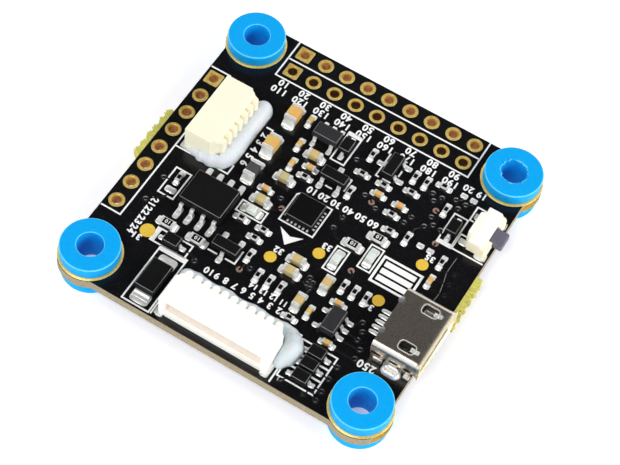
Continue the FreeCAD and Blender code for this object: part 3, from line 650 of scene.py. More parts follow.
def make_camera():
    azimuth, elevation = math.radians(CAMERA_AZIMUTH), math.radians(CAMERA_ELEVATION)
    level = math.cos(elevation)
    back = Vector((math.sin(azimuth) * level, -math.cos(azimuth) * level, math.sin(elevation)))
    camera = linked("camera", bpy.data.cameras.new("camera"))
    camera.data.lens = CAMERA_LENS
    camera.data.clip_start = 0.01
    camera.location = (CAMERA_AIM + back * CAMERA_DISTANCE) * MM
    camera.rotation_mode = "QUATERNION"
    roll = Quaternion((0, 0, 1), math.radians(CAMERA_ROLL))
    camera.rotation_quaternion = (-back).to_track_quat("-Z", "Y") @ roll
    bpy.context.scene.camera = camera


def area_light(name, place, size, power, tint=(1, 1, 1)):
    """A soft rectangular light that faces the board's middle; place and size in millimetres."""
    light = bpy.data.lights.new(name, "AREA")
    light.shape = "RECTANGLE"
    light.size, light.size_y = size[0] * MM, size[1] * MM
    light.energy = power
    light.color = tint
    lamp = linked(name, light)
    lamp.location = Vector(place) * MM
    lamp.rotation_mode = "QUATERNION"
    lamp.rotation_quaternion = (-Vector(place)).to_track_quat("-Z", "Y")


def make_lights():
    """A tent of soft light: bright round the sides and dark straight above, with two softboxes."""
    area_light("front_softbox", (-70, -210, 350), (200, 200), 0.75)
    area_light("right_softbox", (310, 60, 200), (180, 180), 0.7)
    world = bpy.data.worlds.new("light_tent")
    world.use_nodes = True
    tree = world.node_tree
    direction = tree.nodes.new("ShaderNodeTexCoord").outputs["Generated"]
    parts = tree.nodes.new("ShaderNodeSeparateXYZ")
    tree.links.new(direction, parts.inputs["Vector"])
    height = tree.nodes.new("ShaderNodeMapRange")
    height.interpolation_type = "SMOOTHSTEP"
    tree.links.new(parts.outputs["Z"], height.inputs["Value"])
    for name, number in (("From Min", 0.5), ("From Max", 0.7), ("To Min", 1.5), ("To Max", 0.02)):
        height.inputs[name].default_value = number
    background = tree.nodes["Background"]
    background.inputs["Color"].default_value = (0.97, 0.98, 1.0, 1.0)
    tree.links.new(height.outputs["Result"], background.inputs["Strength"])
    bpy.context.scene.world = world
    bpy.context.scene.view_settings.view_transform = "Standard"


def make_floor():
    look = Look("pale_table")
    look.colour(look.mix(look.noise(40.0), (0.93, 0.93, 0.95), (0.96, 0.96, 0.97)))
    look.shader.inputs["Roughness"].default_value = 0.8
    look.bumps(0.01, 1.5)
    look.shader.inputs["Emission Color"].default_value = (0.94, 0.94, 1.0, 1.0)
    look.shader.inputs["Emission Strength"].default_value = 0.3
    mesh = bpy.data.meshes.new("table_top")
    reach = 3.0
    corners = [(-reach, -reach, 0), (reach, -reach, 0), (reach, reach, 0), (-reach, reach, 0)]
    mesh.from_pydata(corners, [], [(0, 1, 2, 3)])
    mesh.materials.append(look.material)
    linked("table_top", mesh)


# ---------------------------------------------------------------- board and plating
def board():
    """The laminate with its mask on both faces and torn tab stubs."""
    bm = welded("circuit_board")
    for vert in bm.verts:
        vert.co.x = max(-EDGE_X, min(EDGE_X, vert.co.x))
    bmesh.ops.dissolve_degenerate(bm, dist=0.0005, edges=bm.edges)
    bmesh.ops.remove_doubles(bm, verts=bm.verts, dist=0.0005)
    shape = Shape()
    mask, laminate = shape.index("mask"), shape.index("laminate")
    bm.normal_update()
    for face in bm.faces:
        face.material_index = mask if abs(face.normal.z) > 0.7 else laminate
    shape.absorb(bm)
    for side in (-1, 1):
        torn_stub(shape, side)
    shape.stand_for("circuit_board", "solder_mask")


STUB_HALF = 3.3     # half the length of a torn stub
STUB_BITES = 6      # the drill bites of a break-off tab, which the fibres stand proud between


def torn_stub(shape, side):
    """Broken fibres along one long edge, standing proud by ragged amounts."""
    draw = random.Random(40 + side)
    proud = BOARD_HIGH.x - EDGE_X
    root = side * (EDGE_X - 0.1)
    y = -STUB_HALF
    while y < STUB_HALF:
        width = draw.uniform(0.1, 0.24)
        bite = abs(math.sin(math.pi * STUB_BITES * (y + STUB_HALF) / (2 * STUB_HALF))) ** 0.6
        z = UNDER + 0.02
        while z < TOP - 0.1:
            thick = min(draw.uniform(0.16, 0.4), TOP - 0.01 - z)
            reach = proud * (0.25 + 0.7 * bite) * draw.uniform(0.75, 1.05)
            x0, x1 = sorted((root, side * (EDGE_X + min(reach, proud))))
            tuft = brick((x0, y, z), (x1, min(y + width, STUB_HALF), z + thick), 0.03, 1)
            turn = Matrix.Rotation(draw.uniform(-0.06, 0.06), 3, "Z")
            bmesh.ops.rotate(tuft, verts=tuft.verts, cent=(root, y, z), matrix=turn)
            shape.absorb(tuft, "torn")
            z += thick
        y += width


# via centres: those plugged with mask, and those left open
TENTED = [
    (-3.05, 0.25), (3.05, 0.25), (3.2, 1.75), (3.75, 5.3), (5.4, 4.5), (10.6, 6.75), (9.85, 8.55),
    (9.35, 9.3), (10.4, 9.3), (12.35, 9.1), (12.8, 9.9), (11.7, 9.9), (8.9, 5.6), (8.6, 4.65),
    (11.2, 6.0), (10.5, 5.4), (12.1, 5.9), (15.7, 2.2), (15.8, 0.9), (16.0, -0.4), (10.85, -7.4),
    (11.35, -8.3), (11.35, -9.3), (12.1, -10.1), (12.2, -11.2), (11.25, -12.9), (11.2, -14.4),
    (11.3, -15.9), (11.3, -17.0), (10.0, -17.0), (7.4, -16.9), (-14.2, -7.2), (-14.1, -4.1),
    (-6.3, -10.55), (4.05, -5.95), (4.6, -6.3), (4.1, -6.7), (4.6, -7.0), (-1.35, -8.3), (0.9, 8.5),
]
OPEN = [(-2.4, -0.65), (4.7, 4.95), (-2.2, -8.9), (10.6, 7.7), (7.0, -3.0), (12.4, 4.3)]
VIA_RIMS = (0.34, 0.21, 0.185, 0.165, 0.1)     # radii: skirt, outer slope, crest, inner slope, dip
LONGEST_TRACK = 4.0


def vias():
    """Small plated holes on both faces, and the tracks that run from them under the mask."""
    shape = Shape()
    lands = [middle(box) for box in solids("solder_lands")]
    skirt, outer, crest, inner, dip_r = VIA_RIMS
    for face, lift in ((TOP, 1), (UNDER, -1)):
        rim, slope = face + lift * TRACK_T, face + lift * (TRACK_T - 0.004)
        low, draft = (face, 0.03) if lift > 0 else (face - TRACK_T, 0.0)
        for places, look, dish in ((TENTED, "via", 0.9), (OPEN, "copper", 1.0)):
            dip = rim - lift * TRACK_T * dish
            profile = [(skirt, face), (outer, slope), (crest, rim), (inner, slope),
                       (dip_r, dip), (0.001, dip), (0.001, face)]
            for x, y in places:
                shape.lathe(x, y, profile, look, 28, None, ((0.13, "mask"),))
                land = min(lands, key=lambda place: (place.xy - Vector((x, y))).length)
                path = dogleg((x, y), (land.x, land.y))
                if len(path) > 1 and (land.xy - Vector((x, y))).length < LONGEST_TRACK:
                    shape.ribbon(path, TRACK_W, low, TRACK_T, "mask", draft=draft)
    shape.finish("vias_and_tracks", "solder_mask", 40.0)


# the edge of a raised copper plane beside the USB port
PLANE_EDGE = [(15.0, 4.0), (14.95, 2.0), (15.2, 1.0), (15.5, -0.5), (15.4, -1.6)]


def copper_plane():
    """A copper area that shows through the mask as a faint step, with a grey line along its edge as a
    painted highlight.
    """
    shape = Shape()
    outline = PLANE_EDGE + [(EDGE_X - 0.2, PLANE_EDGE[-1][1]), (EDGE_X - 0.2, PLANE_EDGE[0][1])]
    shape.absorb(prism(outline, TOP, TOP + TRACK_T * 0.8), "mask")
    shape.ribbon(PLANE_EDGE, 0.09, TOP, TRACK_T, "step", draft=0.02)
    shape.finish("copper_plane", "solder_mask", 30.0)


def dogleg(start, end):
    """A track with one run at 45 degrees and one straight."""
    across, along = end[0] - start[0], end[1] - start[1]
    run = min(abs(across), abs(along))
    knee = (start[0] + math.copysign(run, across), start[1] + math.copysign(run, along))
    path = [start]
    for point in (knee, end):
        if (Vector(point) - Vector(path[-1])).length > 0.05:
            path.append(point)
    return path


def pad_profile(bore, pad, dish=0.03, taper=0.0):
    """A plated hole cut through its wall: flat pads dished towards the hole, and the barrel between."""
    low, high = UNDER - PAD_T, TOP + PAD_T
    soft = 0.015
    barrel = bore + 0.06
    outer = [(pad, TOP), (pad, high - soft), (pad - soft, high)]
    inner = [(bore + dish, high), (bore + dish - soft, high - 0.012),
             (bore + 0.02, high - 0.03), (bore, high - 0.07)]
    mirrored = [(bore - taper, low + soft)] + [(r, low + high - z) for r, z in reversed(outer)]
    return outer + inner + mirrored + [(barrel, UNDER), (barrel, TOP)]


def square_reach(bore):
    """Scales the outer radii so that a round pad's outline becomes a square one."""
    def reach(angle, r):
        if r <= bore + 0.1:
            return 1.0
        return 1 / max(abs(math.cos(angle)), abs(math.sin(angle)))
    return reach


HEADER_BORE, HEADER_DISH = 0.5, 0.13     # hole radius, and how far the pad is dished round it


def header(node, barrel):
    """Plated holes of one header, the first with a square pad. barrel is the look inside the holes,
    painted darker than the plating as shade.
    """
    shape = Shape()
    cores = ((HEADER_BORE + 0.01, barrel), (HEADER_BORE + HEADER_DISH + 0.001, "dish_gold"))
    boxes = solids(node)
    if node.startswith("left"):
        first = max(boxes, key=lambda box: box[0].y)
    else:
        first = min(boxes, key=lambda box: box[0].x)
    for box in boxes:
        centre = middle(box)
        profile = pad_profile(HEADER_BORE, (box[1].x - box[0].x) / 2, HEADER_DISH, HEADER_DISH)
        outer = square_reach(HEADER_BORE) if box is first else None
        shape.lathe(centre.x, centre.y, profile, "gold", 48, outer, cores)
    shape.stand_for(node, "gold_plating", 30.0)


RING_BORE = 2.0     # radius of the board's corner holes inside their plating


def corner_rings():
    shape = Shape()
    for low, high in solids("mounting_hole_rings"):
        centre = (low + high) / 2
        shape.lathe(centre.x, centre.y, pad_profile(RING_BORE, (high.x - low.x) / 2), "gold", 96)
    shape.stand_for("mounting_hole_rings", "gold_plating", 50.0)


def test_pads():
    shape = Shape()
    for low, high in solids("test_pads"):
        centre = (low + high) / 2
        r = (high.x - low.x) / 2
        profile = [(0.001, TOP), (r, TOP), (r, TOP + 0.025), (r - 0.015, TOP + PAD_T),
                   (0.001, TOP + PAD_T)]
        shape.lathe(centre.x, centre.y, profile, "pad_gold", 40)
    shape.stand_for("test_pads", "gold_plating", 30.0)


# ---------------------------------------------------------------- grommets
GROMMET_BORE, GROMMET_NECK = 1.375, 1.97
BRIM, EASED = 0.17, 0.08      # edge radii outside and at the bore


def grommet(node, torn=False):
    """A moulded silicone bobbin. A torn one has a ragged lip round its bore."""
    low, high = box_of(node)
    x, y = (low.x + high.x) / 2, (low.y + high.y) / 2
    flange, bore = (high.x - low.x) / 2, GROMMET_BORE
    profile = []
    for z0, lift in ((high.z, 1), (low.z, -1)):
        face = TOP + PAD_T if lift > 0 else UNDER - PAD_T
        half = [(GROMMET_NECK, face), (flange - 0.1, face), (flange, face + lift * 0.12)]
        for step in range(7):
            angle = math.pi / 2 * step / 6
            inward, down = BRIM * (1 - math.cos(angle)), BRIM * (1 - math.sin(angle))
            half.append((flange - inward, z0 - lift * down))
        half += [((flange + bore) / 2 + 0.3, z0), ((flange + bore) / 2 - 0.3, z0)]
        for step in range(6):
            angle = math.pi / 2 * step / 5
            outward, down = EASED * (1 - math.sin(angle)), EASED * (1 - math.cos(angle))
            half.append((bore + outward, z0 - lift * down))
        half.append((bore, z0 - lift * 1.2))
        profile += half if lift > 0 else list(reversed(half))
    shape = Shape()
    shape.lathe(x, y, profile, "rubber", 96)
    shape.bm.normal_update()
    # faces sloping between top and side take the lighter rim look: a painted highlight round each rim
    rim = shape.index("rubber_rim_highlight")
    for spot in shape.bm.faces:
        if 0.3 < spot.normal.z < 0.97:
            spot.material_index = rim
    shake_rubber(shape.bm, x, y, bore, high.z, torn)
    shape.stand_for(node, "blue_rubber", 60.0)


def shake_rubber(bm, x, y, bore, top, torn):
    """Slight unevenness of soft moulding, and the ragged rim of a torn bore."""
    for vert in bm.verts:
        out = Vector((vert.co.x - x, vert.co.y - y, 0))
        drift = noise.noise(vert.co * 0.5) * 0.025
        if 0.05 < vert.co.z < top - 0.05:
            vert.co += out.normalized() * (drift - 0.025)
        if torn and vert.co.z > top - 0.5 and out.length < bore + 0.3:
            rag = noise.noise(vert.co * 2.6) + 0.6 * noise.noise(vert.co * 7.0)
            vert.co += out.normalized() * rag * 0.2
            vert.co.z += min(0.0, rag * 0.15)


# ---------------------------------------------------------------- solder
# how far solder climbs up the ends of each kind of chip
CLIMBS = {
    "small_resistor": 0.28, "large_resistor": 0.38, "small_capacitor": 0.36, "medium_capacitor": 0.5,
    "large_capacitor": 0.7, "ferrite_bead": 0.6, "led": 0.22, "underside_capacitor": 0.34,
}


def solder_joints():
    """A soft mound of solder on every land, and a fillet up each end of every chip."""
    shape = Shape()
    for low, high in solids("solder_lands"):
        mound(shape, low, high, low.z < UNDER)
    land_boxes = solids("solder_lands")
    for prefix, climb in CLIMBS.items():
        bodies = prefix + ("_bases" if prefix == "led" else "_bodies")
        middles = [middle(box) for box in solids(bodies)]
        for box in solids(prefix + "_ends"):
            chip = min(middles, key=lambda place: (place - middle(box)).length)
            fillet(shape, box, chip, land_boxes, climb)
    shape.finish("solder_joints", "solder_tin", 40.0, "solder_lands")


def squircle(u, v, power=5.0):
    """Maps a square of -1 to 1 onto one with round corners."""
    size = (abs(u) ** power + abs(v) ** power) ** (1 / power)
    if not size:
        return 0.0, 0.0
    return u * max(abs(u), abs(v)) / size, v * max(abs(u), abs(v)) / size


def mound(shape, low, high, under, cells=6):
    """A pillow of solder over a land."""
    centre, half = (low + high) / 2, (high - low) / 2
    height = min(0.1, 0.16 * min(half.x, half.y) + 0.03)
    face, lift = (UNDER, -1) if under else (TOP, 1)
    grid = []
    for i in range(cells + 1):
        row = []
        for j in range(cells + 1):
            u, v = squircle(2 * i / cells - 1, 2 * j / cells - 1)
            dome = (1 - abs(u) ** 4) * (1 - abs(v) ** 4)
            z = face + lift * (0.004 + height * dome ** 0.5)
            row.append(shape.bm.verts.new((centre.x + u * half.x, centre.y + v * half.y, z)))
        grid.append(row)
    close_grid(shape, grid, face, "tin")


def close_grid(shape, grid, face, look):
    """Faces over a grid of points, and walls and a bottom under it."""
    for i in range(len(grid) - 1):
        for j in range(len(grid[0]) - 1):
            shape.face((grid[i][j], grid[i + 1][j], grid[i + 1][j + 1], grid[i][j + 1]), look)
    rim = grid[0][:-1] + [row[-1] for row in grid[:-1]]
    rim += grid[-1][:0:-1] + [row[0] for row in grid[:0:-1]]
    foot = [shape.bm.verts.new((v.co.x, v.co.y, face)) for v in rim]
    for n in range(len(rim)):
        m = (n + 1) % len(rim)
        shape.face((rim[n], foot[n], foot[m], rim[m]), look)
    shape.face(foot, look)


def fillet(shape, box, chip, land_boxes, climb, cells=6):
    """Solder drawn up the outer face of a chip's end, hollow in section."""
    low, high = box
    centre = (low + high) / 2
    under = centre.z < UNDER
    face, lift = (UNDER, -1) if under else (TOP, 1)
    out = centre - chip
    if abs(out.x) > abs(out.y):
        out = Vector((math.copysign(1, out.x), 0, 0))
    else:
        out = Vector((0, math.copysign(1, out.y), 0))
    across = Vector((-out.y, out.x, 0))
    start = abs((high - low).dot(out)) / 2
    half = abs((high - low).dot(across)) / 2
    own_side = [b for b in land_boxes if (middle(b).z < UNDER) == under]
    land = min(own_side, key=lambda b: (middle(b) - centre - out * 0.2).length)
    land_end = abs((land[1] - land[0]).dot(out)) / 2 + (middle(land) - centre).dot(out)
    reach = max(0.12, land_end - start)
    base = Vector((centre.x, centre.y, face))
    grid = []
    for i in range(cells + 1):
        t = i / cells
        row = []
        for j in range(cells + 1):
            v = 2 * j / cells - 1
            fall = (1 - t) ** 2.3 * (1 - 0.35 * abs(v) ** 3)
            spread = half * (1 + 0.12 * t) * v * (1 - 0.25 * t ** 3)
            point = base + out * (start - 0.02 + (reach - 0.02) * t) + across * spread
            point.z += lift * (0.03 + climb * fall)
            row.append(shape.bm.verts.new(point))
        grid.append(row)
    close_grid(shape, grid, face, "tin")


# ---------------------------------------------------------------- print
def print_digits(shape, text, x, y, height, turn=180.0, bold=0.035, level=TOP):
    """A number printed in ink, centred on x and y."""
    curve = bpy.data.curves.new("digits", "FONT")
    curve.body = text
    curve.size = height * 1.38
    curve.extrude = INK_T / 2
    curve.offset = bold
    curve.resolution_u = 3
    curve.space_character = 1.12
    curve.align_x = curve.align_y = "CENTER"
    holder = linked("digits", curve)
    mesh = bpy.data.meshes.new_from_object(holder)
    bpy.data.objects.remove(holder)
    bpy.data.curves.remove(curve)
    low, high = limits([vert.co for vert in mesh.vertices])
    mesh.transform(Matrix.Translation(-(low + high) / 2))
    mesh.transform(Matrix.Rotation(math.radians(turn), 4, "Z"))
    mesh.transform(Matrix.Translation((x, y, level + INK_T / 2)))
    bm = bmesh.new()
    bm.from_mesh(mesh)
    bpy.data.meshes.remove(mesh)
    shape.absorb(bm, "ink")


def stroke(shape, points, width=INK_W, closed=False):
    shape.ribbon(points, width, TOP, INK_T, "ink", closed)


def frame_round(shape, boxes, margin, width=INK_W):
    """A printed outline round some boxes. margin is one number, or one for each side: -X, +X, -Y, +Y."""
    low, high = limits([corner for box in boxes for corner in box])
    left, right, front, rear = margin if isinstance(margin, tuple) else (margin,) * 4
    x0, x1, y0, y1 = low.x - left, high.x + right, low.y - front, high.y + rear
    stroke(shape, [(x0, y0), (x1, y0), (x1, y1), (x0, y1)], width, closed=True)
    return x0, x1, y0, y1


def slab(shape, x0, x1, y0, y1):
    """A solid patch of ink."""
    middle_x = (x0 + x1) / 2
    shape.ribbon([(middle_x, y0), (middle_x, y1)], x1 - x0, TOP, INK_T * 1.4, "ink")


def printing():
    shape = Shape()
    print_header_frames(shape)
    print_part_outlines(shape)
    print_loose_lines(shape)
    print_labels(shape)
    shape.finish("printed_marks", "white_ink")


def print_header_frames(shape):
    outer, inner = (solids(f"rear_{row}_header_eyelets") for row in ("outer", "inner"))
    left_x = min(b[0].x for b in outer) - 0.47
    right_x = max(b[1].x for b in outer) + 0.4
    between = (outer[0][0].y + inner[0][1].y) / 2
    front = inner[0][0].y - 0.47
    rear = BOARD_HIGH.y - 0.2
    stroke(shape, [(left_x, rear), (left_x, front), (right_x, front), (right_x, rear)])
    stroke(shape, [(left_x, between), (right_x, between)])
    ways = solids("left_header_eyelets")
    edge = -EDGE_X + 0.1
    side = ways[0][1].x + 0.4
    rear, front = max(b[1].y for b in ways) + 0.4, min(b[0].y for b in ways) - 0.4
    stroke(shape, [(edge, rear), (side, rear), (side, front), (edge, front)])


def print_part_outlines(shape):
    """Outlines round the lamps, diodes and motion sensor, with a thick bar at one end of each diode."""
    for box in solids("led_bases"):
        along_x = middle(box).x < 0
        margin = (0.95, 0.95, 0.25, 0.25) if along_x else (0.27, 0.27, 0.98, 0.98)
        frame_round(shape, [box], margin)
    diodes = solids("small_diode_bodies")
    for box in diodes:
        centre = middle(box)
        if centre.x < -5:
            x0, x1, y0, y1 = frame_round(shape, [box], (1.25, 1.05, 0.15, 0.2))
            slab(shape, x0, x0 + 0.45, y0, y1)
        elif centre.y > 8:
            x0, x1, y0, y1 = frame_round(shape, [box], (0.17, 0.13, 1.05, 1.15))
            slab(shape, x0, x1, y1 - 0.4, y1)
        elif centre.y > 0:
            x0, x1, y0, y1 = frame_round(shape, [box], (0.15, 0.13, 1.1, 1.0))
            slab(shape, x0, x1, y0, y0 + 0.4)
    group = [box for box in diodes if middle(box).y < -11]
    x0, x1, y0, y1 = frame_round(shape, group, (1.27, 1.0, 0.17, 0.2))
    middles = sorted(middle(box).y for box in group)
    for a, b in zip(middles, middles[1:]):
        slab(shape, x0, x1, (a + b) / 2 - 0.1, (a + b) / 2 + 0.1)
    power = solids("input_diode_body") + solids("input_diode_leads")
    x0, x1, y0, y1 = frame_round(shape, power, (0.42, 0.35, 0.75, 1.2))
    slab(shape, x0, x1, y1 - 0.5, y1)
    low, high = box_of("motion_sensor_body")
    cut = 0.35
    x0, x1, y0, y1 = low.x - 0.44, high.x + 0.43, low.y - 0.42, high.y + 0.43
    stroke(shape, [(x0, y0), (x1, y0), (x1, y1), (x0 + cut, y1), (x0, y1 - cut)], 0.16, True)


# printed lines that follow no part's outline closely
LOOSE_LINES = [
    [(-15.2, -0.2), (-9.05, -0.2), (-9.05, 1.0)],
    [(-4.85, -6.75), (-4.1, -6.75)],
    [(-6.0, -8.65), (-4.9, -8.65)],
    [(-4.0, -8.65), (-2.9, -8.65), (-2.9, -7.0)],
    [(1.45, 6.1), (1.75, 6.1), (1.75, 4.5)],
    [(-0.2, 4.1), (0.6, 4.1)],
    [(3.45, 11.1), (3.45, 8.0), (3.8, 8.0)],
    [(4.2, 8.0), (5.15, 8.0)],
    [(5.45, 9.1), (5.45, 9.9)],
    [(14.9, 10.4), (13.95, 10.4), (13.95, 8.65), (14.4, 8.65)],
    [(14.8, 6.7), (14.0, 6.7), (14.0, 4.75), (17.5, 4.75)],
    [(6.6, -15.8), (6.6, -17.7)],
    [(-6.7, -16.2), (-6.7, -17.7)],
    [(5.9, -11.78), (6.65, -11.78), (6.65, -12.2)],
]
JUMPER_FRAME = [(-13.7, -5.75), (-11.95, -5.75), (-11.95, -2.35), (-13.7, -2.35)]
FRONT_ARROW = [(-1.4, -2.5), (0.0, -4.1), (1.25, -2.5), (0.0, -3.0)]


def print_loose_lines(shape):
    for points in LOOSE_LINES:
        stroke(shape, points)
    stroke(shape, JUMPER_FRAME, closed=True)
    shape.absorb(prism(FRONT_ARROW, TOP, TOP + INK_T), "ink")


PATCH_PLACE, PATCH_SIZE, PATCH_RULES = (11.1, -1.3), (4.2, 3.1), 3


def write_on_patch(shape):
    """A framed patch with blank lines to write on."""
    (x, y), (width, height) = PATCH_PLACE, PATCH_SIZE
    w, h = width / 2, height / 2
    stroke(shape, [(x - w, y - h), (x + w, y - h), (x + w, y + h), (x - w, y + h)], 0.26, True)
    pitch = (height - 0.5) / PATCH_RULES
    for n in range(PATCH_RULES):
        line = y - h + 0.25 + pitch * (n + 0.5)
        slab(shape, x - w + 0.38, x + w - 0.38, line - pitch * 0.36, line + pitch * 0.36)


# rows of numbers: the first, the step between them, how many, the first place, the way on, height, turn
NUMBER_ROWS = [
    (14, -1, 4, (-0.1, -9.75), (1.15, 0), 0.6, 180.0),
    (20, -1, 2, (12.1, 11.8), (1.45, 0), 0.75, 180.0),
    (21, 1, 4, (-13.35, -7.0), (0, -1.25), 0.75, -90.0),
    (250, 1, 1, (13.5, -11.3), (1, 0), 0.85, 180.0),
    (10, 10, 6, (-1.0, 2.78), (1.42, 0), 0.78, 180.0),
]


def print_labels(shape):
    """Way numbers at the headers and sockets, pad numbers, rows of numbers and a patch to write on."""
    ways = solids("rear_inner_header_eyelets")
    for n, box in enumerate(ways):
        centre = middle(box)
        print_digits(shape, str(10 * (n + 1)), centre.x, centre.y - 1.88, 0.8)
        print_digits(shape, str(10 * (n + 1) + 100), centre.x, centre.y - 2.88, 0.8)
    for n, box in enumerate(sorted(solids("left_socket_contacts"), key=lambda box: -box[0].y)):
        print_digits(shape, str(n + 1), -8.35, middle(box).y, 0.8, -90.0)
    front_ways = [middle(box).x for box in solids("front_socket_contacts")]
    for n, x in enumerate(sorted(front_ways)):
        print_digits(shape, str(len(front_ways) - n), x, -10.72, 0.72)
    for first, more, count, (x, y), (dx, dy), height, turn in NUMBER_ROWS:
        for n in range(count):
            print_digits(shape, str(first + more * n), x + dx * n, y + dy * n, height, turn)
    for n, box in enumerate(solids("test_pads")):
        centre = middle(box)
        dx, dy = (-0.5, -1.1) if abs(centre.x) > 5 and centre.y < 0 else (0.3, 1.05)
        print_digits(shape, str(n + 31), centre.x + dx, centre.y + dy, 0.7)
    write_on_patch(shape)


# ---------------------------------------------------------------- sockets
SOCKET_DEPTH = 4.25
SOCKET_HEIGHT = 2.9
SILL = 0.95


ROUNDING = 0.045                 # of a housing's edges
LATCH_Y, BACK_Y = 3.0, 3.3       # where the shoulders start, and the back of the cavity
ROOF_IN = 2.58                   # the cavity's ceiling over the board
CHEEK, LEAD_IN = 0.7, 0.12       # side walls, and how much wider the mouth is at its lip


def socket_outline(ways):
    """The housing from above: a straight mouth, narrow shoulders and a lobe between contacts."""
    half, shoulder, back = (ways + 2) / 2, 0.2, SOCKET_DEPTH - 0.42
    right = [(half, 0.0), (half, LATCH_Y), (half - shoulder, LATCH_Y + 0.12)]
    lobes = []
    for n in range(ways + 1):
        lobes += arc(ways / 2 - n, back, 0.4, 0.42, 0, 180, 6)
    return right + lobes + [(-x, y) for x, y in reversed(right)]


def socket_housing(ways):
    """A housing in its own frame: mouth at y = 0 towards -Y, standing on the board."""
    half = (ways + 2) / 2
    floor, roof, clear = TOP + SILL, TOP + ROOF_IN, TOP + SOCKET_HEIGHT + 0.5
    body = prism(socket_outline(ways), TOP, TOP + SOCKET_HEIGHT)
    inner, lip = half - CHEEK, half - CHEEK + LEAD_IN
    cutters = [
        brick((-inner, -0.5, floor), (inner, BACK_Y, roof), 0.12),
        brick((-lip, -0.5, floor - 0.12), (lip, 0.14, roof + 0.1), 0.12),
        brick((-half - 0.5, 3.45, TOP + 2.72), (half + 0.5, 5.0, clear), 0.02, 1),
    ]
    for side in (-1, 1):
        x0, x1 = sorted((side * (half - 0.57), side * (half + 0.3)))
        cutters.append(brick((x0, -0.5, TOP - 0.5), (x1, 2.0, TOP + 0.31), 0.02, 1))
    for n in range(ways):
        x = n - (ways - 1) / 2
        cutters.append(brick((x - 0.12, 3.6, TOP - 0.5), (x + 0.12, 5.0, clear), 0.02, 1))
    housing = carve(body, cutters)
    # cut through the mouth, so that none of its flat faces runs right round the opening
    for x in (0.45 - half, 0.0, half - 0.45):
        everything = [*housing.verts, *housing.edges, *housing.faces]
        bmesh.ops.bisect_plane(housing, geom=everything, dist=1e-5,
                               plane_co=(x, 0, 0), plane_no=(1, 0, 0))
    return rounded(housing, ROUNDING, 2, 30.0, join=False)


def socket(name, ways, x, y, angle, look, slot):
    half = (ways + 2) / 2
    shape = Shape()
    outside, inside = shape.index(look), shape.index("peach")
    housing = socket_housing(ways)
    # faces inside the hollow take the peach look: painted shade inside the cavity
    for face in housing.faces:
        place = face.calc_center_median()
        between = abs(place.x) < half - 0.6 and 0.1 < place.y < BACK_Y + 0.05
        hollow = between and TOP + SILL - 0.05 < place.z < TOP + 2.65
        face.material_index = inside if hollow else outside
    shape.absorb(moved(housing, x, y, angle))
    shape.stand_for(name + "_housing", slot, 40.0)


def sockets():
    low, high = box_of("front_socket_housing")
    socket("front_socket", 10, (low.x + high.x) / 2, low.y, 0, "ivory", "ivory_nylon")
    low, high = box_of("left_socket_housing")
    socket("left_socket", 6, low.x, (low.y + high.y) / 2, -90, "cream", "cream_nylon")


# x, y, radius and height of the balls along each bead of glue
FRONT_GLUE = [(-5.9 + 0.9 * n, -12.4 + 0.12 * math.sin(1.7 * n), 1.25, 1.1) for n in range(14)] + [
    (6.4, -12.9, 1.3, 1.7), (6.8, -13.7, 1.5, 2.2), (6.7, -14.6, 1.4, 2.0), (6.4, -15.4, 1.0, 1.4),
    (-6.3, -13.4, 0.75, 1.1), (-6.4, -14.4, 0.75, 1.1), (-6.4, -15.4, 0.7, 1.0),
]
LEFT_GLUE = [(-10.1, 8.2 - 0.85 * n, 1.5, 1.9) for n in range(9)] + [
    (-10.4, 0.7, 1.35, 1.6), (-11.3, 0.3, 1.2, 1.4), (-12.3, 0.2, 1.1, 1.2), (-13.2, 0.25, 0.8, 0.9),
]


def glue(name, slot, look, trail, housing):
    """A bead of glue: overlapping balls of x, y, radius and height, melted into one skin."""
    ball = bpy.data.metaballs.new(name)
    ball.resolution = 0.16
    ball.threshold = 0.25
    for x, y, radius, height in trail:
        element = ball.elements.new()
        element.type = "ELLIPSOID"
        element.co = (x, y, TOP)
        element.radius = 1.0
        element.size_x, element.size_y, element.size_z = radius, radius, height
    holder = linked(name, ball)
    graph = bpy.context.evaluated_depsgraph_get()
    mesh = bpy.data.meshes.new_from_object(holder.evaluated_get(graph))
    bpy.data.objects.remove(holder)
    bm = bmesh.new()
    bm.from_mesh(mesh)
    bmesh.ops.smooth_vert(bm, verts=bm.verts, factor=0.5,
                          use_axis_x=True, use_axis_y=True, use_axis_z=True)
    for vert in bm.verts:
        vert.co += vert.normal * 0.06 * noise.noise(vert.co * 0.9)
        vert.co.z = max(vert.co.z, TOP + 0.002)
    push_out(bm, *box_of(housing))
    bmesh.ops.dissolve_degenerate(bm, dist=1e-5, edges=bm.edges)
    shape = Shape()
    shape.absorb(bm, look)
    shape.stand_for(name, slot, 180.0)


def push_out(bm, low, high, bite=0.3):
    """Moves points inside a housing to just within its nearest side wall, to clear its hollow."""
    for vert in bm.verts:
        x, y = vert.co.x, vert.co.y
        gap_x = min((x - low.x - bite, low.x + bite), (high.x - bite - x, high.x - bite))
        gap_y = min((y - low.y - bite, low.y + bite), (high.y - bite - y, high.y - bite))
        if gap_x[0] <= 0 or gap_y[0] <= 0:
            continue
        if gap_x[0] < gap_y[0] + 0.3:
            vert.co.x = gap_x[1]
        if gap_y[0] < gap_x[0] + 0.3:
            vert.co.y = gap_y[1]


# ---------------------------------------------------------------- USB port
USB_HALF, USB_SHEET, USB_LIP = 3.7, 0.25, 0.45
WINDOW_X, WINDOW_OUT = 16.15, 2.3         # latch windows: their place, and how far out from the middle
SLOT_X, DIMPLE_OUT = 17.05, 1.95
# sections of the flared mouth: how far ahead of where it starts, and how much wider than the sleeve
FLARE = [(-0.35, 0.0), (-0.1, 0.015), (0.1, 0.05), (0.25, 0.1), (0.36, 0.15)]
FEET = ((13.2, 14.3), (16.65, 17.5))
LEG = (15.1, 16.1)


